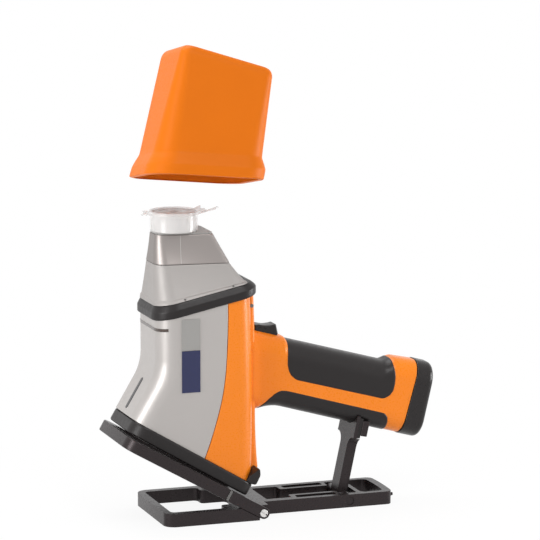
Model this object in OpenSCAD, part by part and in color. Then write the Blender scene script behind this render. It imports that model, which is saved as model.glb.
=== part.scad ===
// Handheld fluorescence analyser lying nose-up in its folding bench stand,
// with a sample cup on the nose window and a lift-off safety shield.
// Origin: on the bench, under the stand's hinge axis, on the middle plane.
// X runs along the stand towards the handle end, Y across it, Z up.

/* [Stand] */
// Thickness of the base frame
base_t = 11.5; // [10:0.5:14]
// Hinge axis to the loop's far end
loop_len = 88; // [80:1:96]
// Width over the loop's rails
stand_w = 93; // [90:1:100]
// Width of one loop rail
rail_w = 7; // [5:0.5:8]
// Hinge axis to the tail's end
tail_len = 126; // [122:1:128]
// Width of the tail
tail_w = 55.8; // [54:0.2:58]
// Width of the slot for the prop leg's shank
slot_w = 21; // [19:0.5:23]
// Length of the tilt frame from hinge axis to outer end
frame_len = 140; // [139:0.5:144]
// Thickness of the tilt frame and its arms
frame_t = 10; // [9:0.25:10.5]
// Width of one tilt frame rail
frame_rail = 12.5; // [11:0.5:14]
// Angle of the raised tilt frame
frame_tilt = 30; // [29:0.5:30.5]
// Radius of the hinge pins and of the prop leg's axle
pin_r = 2.5; // [2:0.25:3]
// Radius of a hinge pin's slotted head
pin_head_r = 3.6; // [3.2:0.1:4]

/* [Prop leg] */
// Distance from the hinge axis to the leg's axle
leg_x = 85.3; // [83:0.5:88]
// Length of the leg from its axle to the horns of its saddle
leg_len = 73.5; // [71:0.5:73.5]
// Thickness of the shank
leg_t = 9; // [7:0.5:9]
// Width of the shank
shank_w = 16.6; // [14:0.2:18]
// Width of the head
head_w = 39; // [36:0.5:40]
// Lean of the raised leg towards the tail
leg_lean = 12; // [11:0.5:13]

/* [Body] */
// Width of the body
body_w = 74.4; // [72:0.4:78]
// Wall of the housing shells
wall = 2.5; // [2:0.25:3.5]
// Tilt of the display
display_tilt = 31; // [30.5:0.25:31.5]
// Length of the display bezel
bezel_len = 123; // [120:1:125]
// Depth of the display bezel
bezel_t = 11.5; // [10:0.5:12]
// Width over the rubber band
band_w = 77.6; // [76:0.4:80]
// Height of the rubber band
band_h = 12; // [11:0.5:13]
// Slope of the rubber band
band_tilt = 12; // [11:0.5:13]

/* [Nose] */
// Height of the nose's flat face above the bench
nose_z = 247.5; // [244:0.5:250]
// Height of the seam between nose cone and nose plate
plate_z = 222.5; // [218:0.5:226]
// Radius of the analysis window
window_r = 7; // [5:0.5:9]

/* [Handle] */
// Width of the handle
handle_w = 39; // [37:0.5:41]
// Depth of the handle
handle_d = 57.5; // [56:0.5:58.5]
// Length of the handle from its root to the battery cap
handle_len = 114; // [112:1:116]
// Slope of the handle
handle_tilt = 15.5; // [15:0.25:16]
// Thickness of the rubber grips
grip_t = 1.8; // [1.2:0.2:2.2]
// Length of the battery cap
cap_len = 18; // [16:0.5:20]

/* [Sample cup] */
// Radius of the cup's body
cup_r = 20.6; // [19:0.2:21]
// Height of the cup
cup_h = 17; // [15:0.5:19]
// Wall of the cup
cup_wall = 1.2; // [0.8:0.1:1.6]

/* [Safety shield] */
// Height of the shield
shield_h = 105; // [100:1:108]
// Wall of the shield
shield_wall = 3; // [2.4:0.2:3.4]
// Running gap between the shield's skirt and the band
shield_gap = 1.5; // [1:0.25:2]

/* [Hidden] */
$fn = 48;
gap = 0.3;
fit = 0.05;
pin_z = base_t / 2;

// ---- colours ----
c_black = [0.16, 0.15, 0.155];
c_stand = [0.24, 0.22, 0.225];
c_silver = [0.72, 0.71, 0.7];
c_plate = [0.52, 0.5, 0.48];
c_orange = [0.96, 0.54, 0.12];
c_steel = [0.82, 0.81, 0.8];
c_navy = [0.12, 0.125, 0.32];
c_white = [0.93, 0.93, 0.92];

// ---- outlines and lofts ----
arc_n = 8;
function arc(cx, cy, r, a0, a1) =
    [for (i = [0 : arc_n]) let (a = a0 + (a1 - a0) * i / arc_n) [cx + r * cos(a), cy + r * sin(a)]];
function mirror_y(p) = [for (i = [len(p) - 1 : -1 : 0]) [p[i][0], -p[i][1]]];
function mix(a, b, t) = a + (b - a) * t;
// Outline of a rounded shape that may be wider at one end, starting at its left middle.
function half_outline(xl, xr, wl, wr, rl, rr) =
    let (d = [xr - rr - xl - rl, -(wr - rr) + (wl - rl)],
         lean = atan2(d[1], d[0]) + 270 - asin(max(-1, min(1, (rl - rr) / norm(d)))))
    concat(arc(xl + rl, -(wl - rl), rl, 180, lean), arc(xr - rr, -(wr - rr), rr, lean, 360));
function outline(xl, xr, wl, wr, rl, rr) =
    let (p = half_outline(xl, xr, wl, wr, rl, rr)) concat(p, mirror_y(p));
// Places a plan outline on a plane that slopes by a tilt through the point (x0, z0).
function on_slope(p, x0, z0, tilt) =
    [for (q = p) [q[0], q[1], z0 + (q[0] - x0) * tan(tilt)]];
// Skin of quads, cut into triangles, between rings that may be closed.
function skin(rows, cols, wrap_rows, wrap_cols) =
    [for (i = [0 : rows - (wrap_rows ? 1 : 2)], j = [0 : cols - (wrap_cols ? 1 : 2)])
        let (a = i * cols + j, b = i * cols + (j + 1) % cols,
             c = ((i + 1) % rows) * cols + (j + 1) % cols, d = ((i + 1) % rows) * cols + j)
        each [[a, c, b], [a, d, c]]];
function reversed(a) = [for (i = [len(a) - 1 : -1 : 0]) a[i]];
module loft(rings) {
    n = len(rings[0]);
    m = len(rings);
    polyhedron([for (r = rings) each r], concat(skin(m, n, false, true),
        [[for (j = [0 : n - 1]) j], [for (j = [n - 1 : -1 : 0]) (m - 1) * n + j]]));
}
// Closed ring of profile rings, the last joined to the first.
module torus_loft(rings) {
    polyhedron([for (r = rings) each r], skin(len(rings), len(rings[0]), true, true));
}
// Thick wall between an outer and an inner path that are carried through the same stations.
module wall_loft(outer, inner) {
    n = len(outer[0]);
    m = len(outer);
    k = m * n;
    last = (m - 1) * n;
    polyhedron(concat([for (r = outer) each r], [for (r = inner) each r]),
        concat(skin(m, n, false, false),
            [for (f = skin(m, n, false, false)) [f[0] + k, f[2] + k, f[1] + k]],
            [for (j = [0 : n - 2]) each [[j, j + 1, k + j + 1], [j, k + j + 1, k + j]]],
            [for (j = [last : last + n - 2]) each [[j + 1, j, k + j], [j + 1, k + j, k + j + 1]]],
            [for (a = [0 : n : last - n]) each [[a + n, a, k + a], [a + n, k + a, k + a + n]]],
            [for (a = [n - 1 : n : last - 1]) each [[a, a + n, k + a + n], [a, k + a + n, k + a]]]));
}

// ---- stand: base ----
rail_in = stand_w / 2 - rail_w;
hub_w = 2 * (rail_in - gap);
loop_corner = 10;
hub_left = -11;
hub_right = 10.9;
neck_x = -33;
neck_w = 54;
head_pocket_end = 34;
head_pocket_w = head_w + 2;
side_slot_w = 8;
inner_rail = 4;
side_slot_end = 75;
foot_pocket_l = leg_x - 7;
foot_pocket_r = leg_x + 8.5;
foot_w = tail_w - 12;
tail_corner = 6;
tail_bow = 300;
arm_clear = frame_t / 2 + gap;
rail_tip = -4;
stud_y = 20;
stud_z = base_t * 0.62;
stud_r = 1.9;

module rounded(r) offset(r = r) offset(delta = -r) children();
module softened(r) offset(r = -r) offset(delta = r) children();
module tail_plan() {
    rounded(tail_corner) intersection() {
        translate([0, -tail_w / 2]) square([tail_len, tail_w]);
        translate([tail_len - tail_bow, 0]) circle(r = tail_bow, $fn = 360);
    }
}
module base_plan() {
    difference() {
        union() {
            rounded(loop_corner) translate([-loop_len, -stand_w / 2]) square([loop_len + rail_tip, stand_w]);
            translate([2 * rail_tip - loop_corner, -stand_w / 2]) square([loop_corner - rail_tip, stand_w]);
            translate([neck_x, -hub_w / 2]) square([6 - neck_x, hub_w]);
            tail_plan();
            translate([0, -tail_w / 2]) square([tail_corner, tail_w]);
        }
        softened(4) rounded(4) union() {
            translate([-loop_len + rail_w - 0.5, -rail_in]) square([neck_x + loop_len - rail_w, 2 * rail_in]);
            translate([neck_x - 10, -neck_w / 2]) square([hub_left - neck_x + 10, neck_w]);
        }
        softened(2) rounded(2) union() {
            translate([hub_right, -head_pocket_w / 2]) square([head_pocket_end - hub_right, head_pocket_w]);
            translate([hub_right, -slot_w / 2]) square([foot_pocket_r - hub_right, slot_w]);
            translate([foot_pocket_l, -foot_w / 2]) square([foot_pocket_r - foot_pocket_l, foot_w]);
        }
        for (s = [-1, 1])
            translate([head_pocket_end + 4.5, s * (slot_w / 2 + inner_rail + side_slot_w / 2) - side_slot_w / 2])
                rounded(2) square([side_slot_end - head_pocket_end - 4.5, side_slot_w]);
        rounded(5) intersection() {
            translate([foot_pocket_r + 4, -tail_w / 2 + 5.4]) square([tail_len - foot_pocket_r - 10.5, tail_w - 10.8]);
            translate([tail_len - tail_bow - 7, 0]) circle(r = tail_bow, $fn = 360);
        }
    }
}
module base_frame() {
    color(c_stand)
        difference() {
            linear_extrude(base_t) base_plan();
            for (s = [-1, 1])
                translate([0, s * (hub_w / 2 + 9.95), pin_z])
                    rotate([0, frame_tilt, 0])
                        translate([-60, -10, -arm_clear]) cube([90, 20, 40]);
            for (s = [-1, 1])
                translate([0, s * (hub_w / 2 + 1), pin_z]) rotate([s * 90, 0, 0]) cylinder(r = pin_r, h = 13);
            for (s = [-1, 1])
                translate([tail_len - 5.5, s * stud_y, stud_z]) rotate([0, 90, 0]) cylinder(r = stud_r, h = 9);
            translate([leg_x, -tail_w / 2 - 1, pin_z]) rotate([-90, 0, 0]) cylinder(r = pin_r, h = tail_w + 2);
            for (s = [-1, 1])
                translate([leg_x, s * (tail_w / 2 + 1), pin_z])
                    rotate([s * 90, 0, 0]) cylinder(r = pin_head_r + 0.2, h = 2.4);
        }
}
module slotted_pin(shaft, length) {
    difference() {
        union() {
            cylinder(r = shaft, h = length);
            cylinder(r = pin_head_r, h = 1.4);
        }
        translate([-pin_head_r, -0.4, -0.1]) cube([2 * pin_head_r, 0.8, 0.7]);
    }
}
arm_out = stand_w / 2;
arm_in = hub_w / 2 + gap;
module hinge_pins() {
    color(c_steel)
        for (s = [-1, 1])
            translate([0, s * (arm_out - 0.1), pin_z])
                rotate([s * 90, 0, 0]) rotate([0, 0, 55]) slotted_pin(pin_r, arm_out - hub_w / 2 + 11);
}
module leg_axle() {
    color(c_black)
        translate([leg_x, 0, pin_z]) {
            rotate([-90, 0, 0]) cylinder(r = pin_r, h = tail_w - 1.8, center = true);
            for (s = [-1, 1])
                translate([0, s * (tail_w / 2 - 0.6), 0]) rotate([s * 90, 0, 0]) cylinder(r = pin_head_r, h = 0.7);
        }
}
module end_studs() {
    color(c_black)
        for (s = [-1, 1])
            translate([tail_len - 5.5, s * stud_y, stud_z])
                rotate([0, 90, 0]) {
                    cylinder(r = stud_r, h = 5.6);
                    cylinder(r = stud_r - 0.5, h = 7.2);
                }
}

// ---- stand: tilt frame ----
frame_in = stand_w / 2 - frame_rail;
key_pos = 34.6;
key_t = 2.6;
module frame_place() translate([0, 0, pin_z]) rotate([0, frame_tilt, 0]) children();
module tilt_frame() {
    color(c_stand)
        frame_place() translate([0, 0, -frame_t / 2]) linear_extrude(frame_t)
            difference() {
                intersection() {
                    rounded(14) translate([-frame_len, -stand_w / 2]) square([frame_len + 30, stand_w]);
                    translate([-frame_len, -stand_w / 2]) square([frame_len - key_pos - key_t - gap, stand_w]);
                }
                rounded(7) translate([-frame_len + 9, -frame_in]) square([frame_len + 30, 2 * frame_in]);
            }
}
module hinge_arms() {
    color(c_stand)
        frame_place() for (s = [-1, 1])
            difference() {
                translate([0, s * (arm_out + arm_in) / 2, 0]) rotate([90, 0, 0])
                    linear_extrude(arm_out - arm_in, center = true) {
                        circle(d = frame_t);
                        translate([-key_pos + gap, -frame_t / 2]) square([key_pos - gap, frame_t]);
                    }
                translate([0, s * (arm_out + 1), 0]) rotate([s * 90, 0, 0]) {
                    cylinder(r = pin_r + fit, h = arm_out);
                    cylinder(r = pin_head_r + 0.2, h = 2.7);
                }
            }
}
module steel_keys() {
    color(c_steel)
        frame_place() for (s = [-1, 1])
            translate([-key_pos - key_t, s * (arm_out + arm_in) / 2 - (arm_out - arm_in) / 2 + gap, -frame_t / 2 + gap])
                cube([key_t, arm_out - arm_in - 2 * gap, frame_t - 2 * gap]);
}

// ---- stand: prop leg ----
leg_left = -(pin_z - 0.4);
cheek_t = 3.2;
pad_t = 3.2;
rear_cheek_t = 6;
saddle_r = 24;
saddle_drop = 9.3;
module leg_place() translate([leg_x, 0, pin_z]) rotate([0, leg_lean, 0]) children();
module head_plan(drop) {
    difference() {
        translate([-head_w / 2, leg_len - 20]) square([head_w, 20]);
        translate([0, leg_len - drop + saddle_r]) circle(r = saddle_r, $fn = 96);
    }
}
module leg_plan() {
    softened(9) union() {
        head_plan(saddle_drop);
        translate([-shank_w / 2, 0]) square([shank_w, leg_len - 15]);
    }
}
module slab(x0, t) translate([x0 + t, 0, 0]) rotate([90, 0, -90]) linear_extrude(t) children();
module prop_leg() {
    color(c_stand)
        leg_place() difference() {
            union() {
                slab(leg_left, leg_t) intersection() {
                    leg_plan();
                    translate([-head_w, 0]) square([2 * head_w, leg_len - 21]);
                }
                slab(leg_left, cheek_t) intersection() {
                    leg_plan();
                    translate([-head_w, leg_len - 23]) square([2 * head_w, 30]);
                }
                rotate([90, 0, 0]) cylinder(r = -leg_left, h = foot_w - 2 * gap, center = true);
            }
            rotate([90, 0, 0]) cylinder(r = pin_r + fit, h = foot_w + 2, center = true);
        }
}
module leg_pad() {
    color(c_black) leg_place() slab(leg_left + cheek_t, pad_t) intersection() {
        offset(delta = -0.6) head_plan(saddle_drop + 0.3);
        translate([-head_w, leg_len - 19.3]) square([2 * head_w, 30]);
    }
}
module leg_cheek() {
    color(c_stand) leg_place() slab(leg_left + cheek_t + pad_t, rear_cheek_t) intersection() {
        rounded(1.5) head_plan(saddle_drop + 1.3);
        translate([-head_w, leg_len - 17]) square([2 * head_w, 30]);
    }
}

// ---- display end ----
bezel_x = -11.2;
bezel_z = 18.8;
bezel_w = 79;
window_l = 84;
window_w = 59;
button_x = -12;
button_r = 5;
module display_place() translate([bezel_x, 0, bezel_z]) rotate([0, display_tilt, 0]) children();
module display_bezel() {
    color(c_black) display_place()
        difference() {
            loft([for (q = [[0, 1.5], [1.5, 0], [bezel_t - 1.5, 0], [bezel_t, 1.5]])
                [for (p = outline(-bezel_len + q[1], -q[1], bezel_w / 2 - q[1], bezel_w / 2 - q[1], 17, 12))
                    [p[0], p[1], q[0]]]]);
            translate([-bezel_len + 16, -window_w / 2, -1]) cube([window_l, window_w, bezel_t + 2]);
            translate([button_x, 0, -1]) cylinder(r = button_r + gap, h = bezel_t - 3);
        }
}
module display_glass() {
    color([0.05, 0.06, 0.08]) display_place() translate([-bezel_len + 16 + fit, -window_w / 2 + fit, 1])
        cube([window_l - 2 * fit, window_w - 2 * fit, 2]);
}
module display_panel() {
    color(c_plate) display_place() translate([-bezel_len + 16 + gap, -window_w / 2 + gap, 3 + fit])
        cube([window_l - 2 * gap, window_w - 2 * gap, 5]);
}
module power_button() {
    color(c_black) display_place() translate([button_x, 0, 0.4]) cylinder(r = button_r, h = 5);
}

// ---- body ----
// Front face of the housing: upright under the band, then flared square to the display.
front_x = -89.5;
bend_r = 45;
bend_z = 130.4;
// Height of a point of the middle plane above the display's outer face.
function level(p) = (p[0] - bezel_x) * sin(display_tilt) + (p[1] - bezel_z) * cos(display_tilt);
function front_pt(t) =
    let (tl = bend_r * tan(display_tilt / 2), top = [front_x, band_low(front_x)],
         a = [front_x, bend_z + tl], len_a = top[1] - a[1], len_b = bend_r * display_tilt * PI / 180,
         end_len = level([front_x - bend_r * (1 - cos(display_tilt)), a[1] - bend_r * sin(display_tilt)]) - bezel_t - 0.1,
         s = t * (len_a + len_b + end_len))
    s < len_a ? [front_x, top[1] - s] :
    s < len_a + len_b ? let (q = (s - len_a) / bend_r * 180 / PI)
        [front_x - bend_r * (1 - cos(q)), a[1] - bend_r * sin(q)] :
    let (q = s - len_a - len_b) [front_x - bend_r * (1 - cos(display_tilt)) - q * sin(display_tilt),
        a[1] - bend_r * sin(display_tilt) - q * cos(display_tilt)];
band_x = -47.5;
band_z0 = 185.3;
function band_low(x) = band_z0 + (x - band_x) * tan(band_tilt);
rear_top_x = -5.8;
rear_low_x = -5.4;
rear_low = [rear_low_x, bezel_z + (bezel_t + 0.1 - (rear_low_x - bezel_x) * sin(display_tilt)) / cos(display_tilt)];
function rear_pt(t) = [mix(rear_top_x, rear_low[0], t) + 3.2 * t * (1 - t) * 2,
    mix(band_low(rear_top_x), rear_low[1], t)];
spine_end = 0.935;
stations = [0, 0.12, 0.25, 0.37, 0.45, 0.53, 0.61, 0.72, 0.83, spine_end, 1];
function seam_part(t) = mix(0.72, 0.578, pow(t, 1.5));
front_r = 18;
rear_r = 14;
spine_w = 38;
spine_h = 6;
function lerp_pts(a, b, u) = [mix(a[0], b[0], u), mix(a[1], b[1], u)];
// A point at share u of the section line from front to rear, pushed out past its ends by d.
function station_pt(t, x, y) =
    let (a = front_pt(t), b = rear_pt(t), d = (b - a) / norm(b - a)) [a[0] + d[0] * x, y, a[1] + d[1] * x];
function station_len(t) = norm(rear_pt(t) - front_pt(t));
function spine_at(t) = t > spine_end ? mix(spine_h + 5.7, 0.6, (t - spine_end) / (1 - spine_end)) :
    spine_h + 8 * pow(max(0, (t - 0.58) / 0.42), 2);
function front_path(t, inset) =
    let (w = body_w / 2 - inset, r = front_r - inset, c = station_len(t) * seam_part(t) - gap / 2,
         p = concat([[c, -w], [mix(c, inset + r, 0.5), -w]],
             [for (q = [arc_n : -1 : 0]) let (a = 180 + 90 * q / arc_n)
                 [inset + r + r * cos(a), -(w - r) + r * sin(a)]]))
    [for (q = concat(p, mirror_y(p))) station_pt(t, q[0], q[1])];
function rear_path(t, inset) =
    let (l = station_len(t), w = body_w / 2 - inset, r = rear_r - inset, h = spine_at(t),
         c = l * seam_part(t) + gap / 2, e = l - inset, sw = spine_w / 2 - inset,
         p = concat([[c, -w], [mix(c, e - r, 0.5), -w]],
             [for (q = [0 : arc_n - 1]) let (a = 270 + 75 * q / arc_n)
                 [e - r + r * cos(a), -(w - r) + r * sin(a)]],
             [[e, -sw - 1.5], [e + h - 1.5, -sw], [e + h, -sw + 1.5], [e + h, -gap / 2]]))
    [for (q = reversed(p)) station_pt(t, q[0], q[1])];
module front_shell() {
    color(c_silver) wall_loft([for (t = stations) front_path(t, 0)], [for (t = stations) front_path(t, wall)]);
}
module rear_half() {
    wall_loft([for (t = stations) rear_path(t, 0)], [for (t = stations) rear_path(t, wall)]);
}
module rear_shell_right() color(c_orange) rear_half();
module rear_shell_left() color(c_orange) mirror([0, 1, 0]) rear_half();

// ---- rubber band and nose ----
band_l = -92.3;
band_r = -0.4;
module rubber_band() {
    h = band_h / cos(band_tilt);
    // each entry: height above the lower edge, inset of the profile there, more of it at the right end
    prof = [[0, 1], [0.8, 0], [h * 0.55, 0], [h * 0.6, 0.6], [h, 2.6], [h, 6], [0, 6]];
    color(c_black) torus_loft([for (q = prof)
        on_slope(outline(band_l + q[1], band_r - q[1] * (q[1] == 2.6 ? 1.8 : 1), band_w / 2 - q[1], band_w / 2 - q[1],
            20 - q[1] * 0.8, 16 - q[1] * 0.8), band_x, band_z0 + q[0], band_tilt)]);
}
nose_low = band_z0 + band_h / cos(band_tilt) + 0.1;
// Nose section at height share u from the band (0) to the flat face (1).
function nose_ring(u, inset, z0, z1, tilt0) =
    let (f = pow(1 - u, 1.6), g = pow(1 - u, 1.02),
         xl = mix(-85.5, -90.3, 1 - u) + inset, xr = mix(-35.9, -9.9, g) - inset,
         wl = mix(13, 35.5, f) - inset, wr = mix(21, 35.5, g) - inset,
         rl = mix(8, 18, 1 - u) - inset * 0.8, rr = mix(4.2, 6.4, 1 - u) - inset * 0.8)
    let (p = outline(xl, xr, wl, wr, rl, rr))
    [for (q = p) [q[0], q[1], mix(z0 + (q[0] - band_x) * tan(tilt0), z1, u)]];
plate_u = 1 - (nose_z - plate_z) / (nose_z - nose_low);
function cone_rings(inset) = [for (i = [0 : 5]) let (v = i / 5, u = plate_u * v)
    let (p = nose_ring(u, inset, 0, 0, 0), s = (1 - v) * tan(band_tilt))
    [for (q = p) [q[0], q[1], mix(nose_low, plate_z, v) + (q[0] - band_x) * s]]];
function plate_rings(inset) = [for (i = [0 : 3]) let (v = i / 3, u = mix(plate_u, 1, v))
    [for (q = nose_ring(u, inset, 0, 0, 0)) [q[0], q[1], mix(plate_z + 0.15, nose_z, v)]]];
module nose_cone() color(c_silver) torus_loft(concat(cone_rings(0), reversed(cone_rings(wall))));
module nose_plate() color(c_plate) torus_loft(concat(plate_rings(0), reversed(plate_rings(1.5))));
cup_x = -65.7;
face_t = 1.4;
module nose_face() {
    color([0.45, 0.36, 0.27]) difference() {
        union() {
            translate([0, 0, nose_z + 0.1]) linear_extrude(face_t - 0.1)
                polygon([for (q = nose_ring(1, 0.8, 0, 0, 0)) [q[0], q[1]]]);
            translate([0, 0, nose_z - 2]) linear_extrude(2.2)
                polygon([for (q = nose_ring(1, 2, 0, 0, 0)) [q[0], q[1]]]);
        }
        translate([cup_x, 0, nose_z - 5]) cylinder(r = window_r, h = 10);
    }
}
module window_film() {
    color([0.75, 0.55, 0.2]) translate([cup_x, 0, nose_z - 2.3]) cylinder(r = window_r + 2, h = 0.25);
}

// ---- handle ----
handle_x = 34.2;
handle_z = 118.4;
module handle_place() translate([handle_x, 0, handle_z]) rotate([0, handle_tilt, 0]) children();
half_d = handle_d / 2;
// Height of the handle's upper side at a distance s along it: a toe rises at the end.
function upper_at(s) = half_d + (s < 84 ? 0 : min(1, (s - 84) / 10) * 6) + max(0, s - 94) * 0.06;
function lower_at(s) = -half_d - max(0, s) * 0.012;
function handle_half(s, inset) =
    let (hi = upper_at(s) - inset, lo = lower_at(s) + inset, w = handle_w / 2 - inset, r = 16 - inset)
    [for (q = concat([[hi, -gap / 2]], [for (i = [arc_n : -1 : 0]) let (a = -90 + 90 * i / arc_n)
            [hi - r + r * cos(a), -(w - r) + r * sin(a)]],
        [for (i = [0 : arc_n]) let (a = 270 - 90 * i / arc_n)
            [lo + r + r * cos(a), -(w - r) + r * sin(a)]], [[lo, -gap / 2]])) [s, q[1], q[0]]];
root_s = -31;
handle_steps = [root_s, -9, -8, 40, 79, 84, 89, 94, 96, 97.8, handle_len];
function core_inset(s) = s > -8.5 && s < 97 ? grip_t + 0.1 : 0;
// Ring slid along the handle so that it ends against the spine.
function at_spine(ring) = [for (q = ring)
    let (z = handle_z - (root_s) * sin(handle_tilt) + q[2] * cos(handle_tilt), x = 2.6 - max(0, z - 91) * 0.021)
    [(x - handle_x - q[2] * sin(handle_tilt)) / cos(handle_tilt), q[1], q[2]]];
module handle_half_shell() {
    difference() {
        wall_loft([for (s = handle_steps) s < root_s + 1 ? at_spine(handle_half(s, 0)) : handle_half(s, core_inset(s))],
            [for (s = handle_steps) let (h = handle_half(s, wall + 1.9)) s < root_s + 1 ? at_spine(h) : h]);
        translate([root_s - 12, -8.5, half_d - 8]) cube([35, 8.5 - 0.1, 12]);
    }
}
module handle_right() color(c_orange) handle_place() handle_half_shell();
module handle_left() color(c_orange) handle_place() mirror([0, 1, 0]) handle_half_shell();
// Grip pad around the upper (k = 1) or lower (k = -1) side, from the side edge at height c.
function pad_path(s, k, c, inset) =
    let (e = (k > 0 ? upper_at(s) : -lower_at(s)) - inset, w = handle_w / 2 - inset, r = 16 - inset,
         p = concat([[c, -w]], [for (i = [0 : arc_n]) let (a = 270 + 90 * i / arc_n)
             [e - r + r * cos(a), -(w - r) + r * sin(a)]]))
    let (c2 = concat(p, mirror_y(p)))
    [for (q = k > 0 ? reversed(c2) : c2) [s, q[1], k * q[0]]];
module grip_pad(k, c, s0, s1) {
    steps = [for (s = concat([s0, 20, 60, 84, 89, 94], [s1])) if (s >= s0 && s <= s1) s];
    wall_loft([for (s = steps) pad_path(s, k, c, 0)], [for (s = steps) pad_path(s, k, c, grip_t)]);
}
module upper_grip() color(c_black) handle_place() grip_pad(1, -2.5, -7.5, 95.8);
module lower_grip() color(c_black) handle_place() grip_pad(-1, 12.5, -7.5, 95.8);

// ---- trigger ----
trig_pivot = [-1, 152];
module trigger() {
    color(c_black)
        translate([4, 0, 0]) rotate([90, 0, 0]) linear_extrude(14, center = true)
            difference() {
                polygon([[0.2, 152.7], [1, 163], [4, 163.6], [17.5, 162.8], [20.6, 163], [22.3, 154], [19.6, 147.4]]);
                translate([11, 183]) circle(r = 20.9, $fn = 96);
            }
}
module trigger_switch() {
    color(c_plate) translate([8, -5, 136.4]) cube([12, 10, 6]);
}

// ---- battery ----
module pack_plan(grow) {
    rotate(90) polygon([for (q = outline(-half_d + 5.2 - grow, half_d - 5.2 + grow,
        handle_w / 2 - 5.2 + grow, handle_w / 2 - 5.2 + grow, 11 + grow, 11 + grow)) q]);
}
module battery_pack() {
    color([0.2, 0.2, 0.22]) handle_place()
        translate([6, 0, 0]) rotate([90, 0, 90]) linear_extrude(handle_len - 2) pack_plan(0);
}
module battery_cap() {
    color(c_black) handle_place() difference() {
        loft([for (q = [[0, 0], [cap_len - 5, 0], [cap_len - 1.5, 1.8], [cap_len, 4.5]])
            let (s = handle_len + 0.4 + q[0], lo = lower_at(s) + q[1], hi = upper_at(min(s, handle_len + 14)) - q[1] * 1.4,
                 w = handle_w / 2 + 0.5 - q[1])
            [for (p = outline(lo, hi, w, w, 14, 14)) [s, -p[1], p[0]]]]);
        translate([handle_len - 1, 0, 0]) rotate([90, 0, 90]) linear_extrude(5.2) pack_plan(0.1);
    }
}
module battery_contacts() {
    color([0.85, 0.7, 0.3]) handle_place()
        for (k = [-2 : 2]) translate([3.4, k * 4 - 1, -8]) cube([2.3, 2, 16]);
}

// ---- inside the body ----
module aimed(x0, z0, len_back, r, h) {
    translate([cup_x, 0, nose_z]) rotate([0, atan2(x0 - cup_x, z0 - nose_z), 0])
        translate([0, 0, len_back]) cylinder(r = r, h = h);
}
module xray_tube() {
    color(c_steel) {
        aimed(-40, 150, 52, 13, 50);
        aimed(-40, 150, 36, 6, 17);
    }
}
module detector() {
    color(c_steel) aimed(-80, 180, 26, 7, 36);
}
module high_voltage_supply() {
    color([0.3, 0.3, 0.32]) translate([-68, -24, 96]) cube([44, 48, 40]);
}
board_level = 17;
board_t = 1.6;
module main_board() {
    color([0.1, 0.35, 0.2]) display_place() translate([-bezel_len + 12, -31, board_level]) cube([98, 62, board_t]);
}
// Folded sheet chassis: two side plates on the board, trays for the supply and the tube, bosses to the shells.
sheet_t = 2;
sheet_y = 24 + gap;
sheet_l = -66;
sheet_r = -18;
sheet_top = 178;
function board_top_z(x) = bezel_z + (board_level + board_t + gap - (x - bezel_x) * sin(display_tilt)) / cos(display_tilt);
module chassis_plate() {
    difference() {
        polygon([[sheet_l, sheet_top], [sheet_r, sheet_top], [sheet_r, board_top_z(sheet_r)],
            [sheet_l, board_top_z(sheet_l)]]);
        for (q = [[-42, 84, 6], [-30, 68, 5], [-56, 152, 5], [-28, 150, 5]]) translate([q[0], q[1]]) circle(r = q[2]);
    }
}
module inner_chassis() {
    color(c_steel) {
        for (s = [-1, 1]) {
            translate([0, s * (sheet_y + sheet_t / 2), 0]) rotate([90, 0, 0])
                linear_extrude(sheet_t, center = true) chassis_plate();
            for (q = [[-52, 110], [-26, 112], [-52, 168], [-26, 166]])
                translate([q[0], s * (sheet_y + 0.5), q[1]]) rotate([-s * 90, 0, 0])
                    cylinder(r = 4, h = body_w / 2 - wall - gap - sheet_y - 0.5);
        }
        difference() {
            union() {
                translate([sheet_l + 0.5, -sheet_y - 1, 92.5])
                    cube([sheet_r - sheet_l - 1, 2 * sheet_y + 2, 96 - gap - 92.5]);
                translate([sheet_l + 0.5, -sheet_y - 1, 168]) cube([sheet_r - sheet_l - 1, 2 * sheet_y + 2, 6]);
            }
            aimed(-40, 150, 40, 13 + gap, 90);
        }
    }
}

// ---- small visible pieces ----
module side_plate(z0, z1) {
    translate([-70.8, -body_w / 2 - 0.65, z0]) cube([16.3, 0.6, z1 - z0]);
}
module side_plate_upper() color(c_plate) side_plate(151.3, 178);
module side_plate_lower() color(c_navy) side_plate(114.5, 150.7);
// Strip that follows the front of the housing, proud by the gap, between two stations.
module front_strip(t0, t1, proud) {
    p0 = front_path(t0, -proud);
    n = len(p0);
    cut = [for (j = [5 : n - 6]) j];
    wall_loft([for (t = [t0, t1]) let (p = front_path(t, -proud)) [for (j = cut) p[j]]],
        [for (t = [t0, t1]) let (p = front_path(t, -0.05)) [for (j = cut) p[j]]]);
}
module status_light() color([0.3, 0.2, 0.12]) front_strip(0.08, 0.108, 0.35);
module front_slot() {
    ts = [for (i = [0 : 10]) mix(0.617, 0.944, i / 10)];
    color(c_black) rotate([90, 0, 0]) linear_extrude(4, center = true)
        polygon(concat([for (t = ts) station_shift(t, -0.15)], [for (t = reversed(ts)) station_shift(t, -0.6)]));
}
function station_shift(t, d) = let (p = station_pt(t, d, 0)) [p[0], p[2]];
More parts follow.
